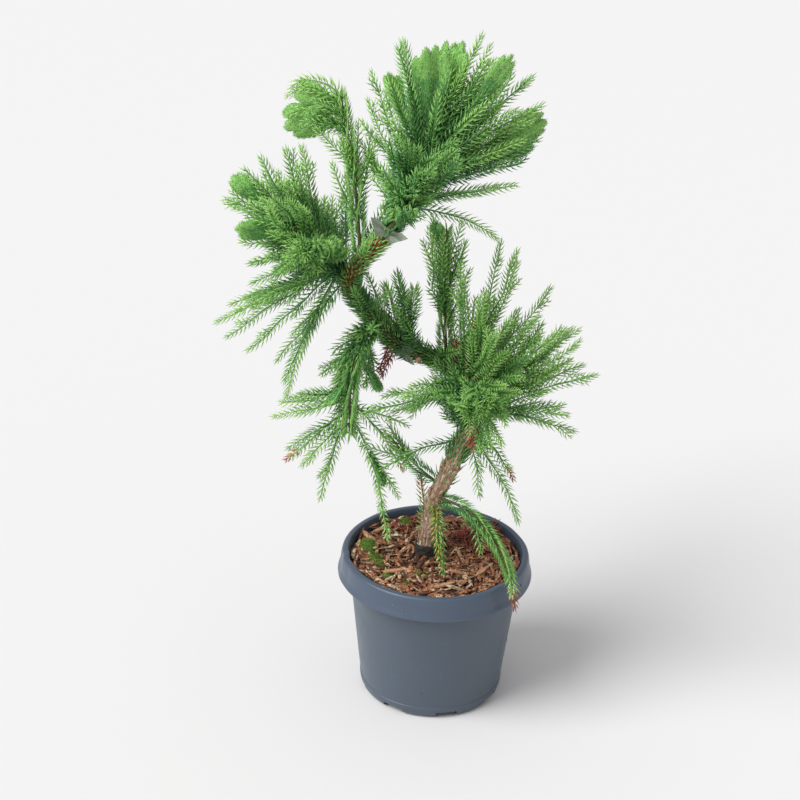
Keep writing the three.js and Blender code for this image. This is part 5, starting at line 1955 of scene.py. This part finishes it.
class TOPIARY_OT_foliage(bpy.types.Operator):
    """Grows the twigs and needles of every region from the limbs"""

    bl_idname = "topiary.foliage"
    bl_label = "Twigs and needles"

    def execute(self, context):
        settings = context.scene.topiary_foliage
        needles = needle_tree(needle_finishes(settings))
        # Twigs: a bare skin duller than the needles, green while young and brown where dead;
        # each takes its shoot's shade number, and so its painted shade in the heart
        stems = [
            finish(f"twig_{name}", base_color=linear(code), roughness=0.6)[0]
            for name, code in zip(SHADES, TWIG_COLOURS)
        ]
        twigs = twig_tree(stems)
        for k, region in enumerate(REGIONS):
            thicket = region_thicket(region)
            leaves = grown(thicket.piece(f"{region}_needles"), needles, {
                "Needle Width": settings.needle_width,
                "Length Factor": settings.needle_scale, "Seed": k,
            })
            inside = [name for name in MASSES if name.startswith(region)]
            keep(leaves, nodes=inside)
            keep(grown(thicket.piece(f"{region}_twigs"), twigs, {}))
        litter = Thicket()
        for x, y, heading, length in LITTER:
            rng = random.Random(int(x * 31 + y))
            root = Vector((x, y, mix_height(x, y) + LIE["litter"]))
            row = Spray("trunk", 0, heading, 16, length, -14, 0, 3, 2, 0, "plume")
            points = lane(spray_path(root, *row[2:7]), row, 0, 0, 1, rng)
            shoot(litter, points, DEAD_SPRAY, ((0, 7.9), (1, 7.2)), rng, 0.9)
        keep(grown(litter.piece("dead_litter"), needles, {
            "Needle Width": settings.needle_width, "Seed": 9,
        }))
        return {"FINISHED"}


def crest_blade(path, row, low, high, lobes, curl, begins, width, rng):
    """A crest: a thin blade that widens to a lobed rim, fluted and curled over. Returns its
    places, faces, the way its needles lie, their lengths and shades."""
    wide = row.wide * width
    phase, drift = rng.uniform(0, 6), rng.uniform(0, 60)

    def spot(u, v):
        # The rim has rounded lobes with small buds on them
        lobe = abs(math.cos(math.pi * u * lobes / 2 + phase)) ** 0.5
        bud = abs(math.sin(math.pi * u * lobes * 1.7 + drift))
        end = 1.0 - 0.2 * abs(u) ** 2.2 + (0.15 * (lobe - 0.75) + 0.02 * bud) * min(v * 2, 1)
        share = begins + (1 - begins) * v * end
        place, _, across, through = rolled_frame(path, share, row.roll)
        flare = (0.14 + 0.86 * min(v / 0.7, 1) ** 1.1) * (1 + 0.2 * v ** 3)
        half = wide * flare
        # The blade is wavy, finely ribbed, and curled over at the rim
        flute = 0.45 * wide * v * rippled(1.6 * u, 1.6 * v, drift)
        fine = 0.2 * v * math.sin(15 * math.pi * u)
        bend = curl * wide * v ** 4
        return place + across * u * half + through * (flute + bend + fine), through, lobe

    places, marks, grain = [], [], []
    rows, columns = CREST_ROWS, CREST_COLUMNS
    front = [[0] * columns for _ in range(rows + 1)]
    back = [[0] * columns for _ in range(rows + 1)]
    for r in range(rows + 1):
        v = r / rows
        for c in range(columns):
            u = -1 + 2 * c / (columns - 1)
            centre, through, lobe = spot(u, v)
            way = (spot(u, v + 0.04)[0] - centre).normalized()
            thick = CREST_HALF_THICKNESS * (0.6 + 0.7 * v * v)
            thick *= math.sqrt(max(1 - abs(u) ** 6, 0)) * math.sqrt(max(1 - v ** 14, 0))
            edge = c in (0, columns - 1) or r in (0, rows)
            for sheet, sign in ((front, 1), (back, -1)):
                if edge and sign < 0:
                    sheet[r][c] = front[r][c]
                    continue
                sheet[r][c] = len(places)
                places.append(centre + through * (0 if edge else sign * thick))
                grain.append(way)
                # Painted shade: darker in the grooves between the rim's lobes, towards the rim;
                # the needles there read it too
                shade = low + (high - low) * v + 0.6 * v ** 2 * (lobe - 0.85)
                marks.append((5.6 - 3.1 * v, shade))
    faces = []
    for r in range(rows):
        for c in range(columns - 1):
            faces.append((front[r][c], front[r + 1][c], front[r + 1][c + 1], front[r][c + 1]))
            faces.append((back[r][c], back[r][c + 1], back[r + 1][c + 1], back[r + 1][c]))
    return places, faces, grain, marks


def fur_tree(finishes):
    """The velvet of a crest: short needles that lie along its grain."""
    tree, sizes, node = started_tree("crest_fur", {"Spacing": 0.00115, "Needle Width": 0.001})
    grain = marked(node, ["grain"], "FLOAT_VECTOR")["grain"]
    marks = marked(node, ["needle", "shade"])
    strewn = node("GeometryNodeDistributePointsOnFaces", {
        "Mesh": sizes["Geometry"], "Distance Min": sizes["Spacing"],
        "Density Max": TRIES["fur"], "Seed": 5,
    }, distribute_method="POISSON")
    lift, off_length, off_shade = (
        node("FunctionNodeRandomValue", {2: low, 3: high, 8: seed}).outputs[1]
        for low, high, seed in ((0.2, 0.75, 6), (0.75, 1.15, 8), (-1.3, 1.0, 9))
    )
    lift = node("ShaderNodeVectorMath", {0: strewn.outputs["Normal"], "Scale": lift}, "SCALE")
    stray = node("FunctionNodeRandomValue", {
        0: (-0.3, -0.3, -0.3), 1: (0.3, 0.3, 0.3), 8: 7,
    }, data_type="FLOAT_VECTOR")
    way = node("ShaderNodeVectorMath", {0: grain, 1: lift}, "ADD")
    way = node("ShaderNodeVectorMath", {0: way, 1: stray}, "ADD")
    facing = node("FunctionNodeAlignRotationToVector", {"Vector": way}, axis="Z")
    length = node("ShaderNodeMath", {0: marks["needle"], 1: off_length}, "MULTIPLY")
    width = sizes["Needle Width"]
    size = node("ShaderNodeCombineXYZ", {0: width, 1: width, 2: length})
    shade = node("ShaderNodeMath", {0: marks["shade"], 1: off_shade}, "ADD")
    # A crest is green all over
    shade = node("ShaderNodeClamp", {0: shade, 1: 0.0, 2: 4.0})
    shade = node("FunctionNodeFloatToInt", {0: shade}, rounding_mode="ROUND")
    return copies(tree, strewn, spindle(node, 0.3), facing, size, shade, finishes)


class TOPIARY_OT_crests(bpy.types.Operator):
    """Makes the grown-together crests and the short needles that cover them"""

    bl_idname = "topiary.crests"
    bl_label = "Crests"

    def execute(self, context):
        settings = context.scene.topiary_foliage
        places, faces, grain, marks = [], [], [], []
        rows = [
            (MASSES[name][k], *values)
            for name, (chosen, *values) in CRESTS.items() for k in chosen
        ]
        for number, (row, *values) in enumerate(rows + LONE_CRESTS):
            rng = random.Random(500 + number)
            blade = crest_blade(row_path(row), Spray(*row), *values, rng)
            faces += [tuple(len(places) + i for i in face) for face in blade[1]]
            places += blade[0]
            grain += blade[2]
            marks += blade[3]
        blades = new_piece("crest_blades", places, faces)
        mark(blades, "grain", grain, "FLOAT_VECTOR")
        mark(blades, "needle", [needle * MM for needle, _ in marks])
        mark(blades, "shade", [shade for _, shade in marks])
        smooth(blades)
        finishes = needle_finishes(settings)
        fur = grown(twin("crest_needles", blades), fur_tree(finishes), {
            "Spacing": settings.fur_spacing, "Needle Width": settings.needle_width * 0.48,
        })
        keep(fur)
        keep(blades, finishes[:4])
        # The blade under its needles is the next darker green: the crest's own body, darkened as
        # painted shade among the needles
        for face in blades.data.polygons:
            shade = marks[face.vertices[0]][1]
            face.material_index = int(max(min(shade - 0.6, 3), 0) + 0.5)
        return {"FINISHED"}


# Panel and registration


STEPS = ("stage", "pot", "mulch", "wood", "sleeve", "ties", "foliage", "crests")


class TOPIARY_PT_panel(bpy.types.Panel):
    """Lists the steps that build the plant"""

    bl_idname = "TOPIARY_PT_panel"
    bl_label = "Crested Cedar Spiral"
    bl_space_type = "VIEW_3D"
    bl_region_type = "UI"
    bl_category = "Topiary"

    def draw(self, context):
        for step in STEPS:
            self.layout.operator(f"topiary.{step}")
        for name in SETTINGS:
            group = getattr(context.scene, name)
            box = self.layout.box()
            for prop in group.bl_rna.properties:
                if prop.identifier not in ("name", "rna_type"):
                    box.prop(group, prop.identifier)


SETTINGS = {
    "topiary_stage": TopiaryStageSettings,
    "topiary_pot": TopiaryPotSettings,
    "topiary_mulch": TopiaryMulchSettings,
    "topiary_wood": TopiaryWoodSettings,
    "topiary_binding": TopiaryBindingSettings,
    "topiary_foliage": TopiaryFoliageSettings,
}
CLASSES = (
    *SETTINGS.values(), TOPIARY_OT_stage, TOPIARY_OT_pot, TOPIARY_OT_mulch, TOPIARY_OT_wood,
    TOPIARY_OT_sleeve, TOPIARY_OT_ties, TOPIARY_OT_foliage, TOPIARY_OT_crests, TOPIARY_PT_panel,
)


def register():
    """Adds the add-on's classes and settings to Blender."""
    for item in CLASSES:
        bpy.utils.register_class(item)
    for name, group in SETTINGS.items():
        setattr(bpy.types.Scene, name, PointerProperty(type=group))


def unregister():
    """Takes them away again."""
    for name in SETTINGS:
        delattr(bpy.types.Scene, name)
    for item in reversed(CLASSES):
        bpy.utils.unregister_class(item)


def main():
    """Builds everything."""
    register()
    for step in STEPS:
        getattr(bpy.ops.topiary, step)()


if __name__ == "__main__":
    main()
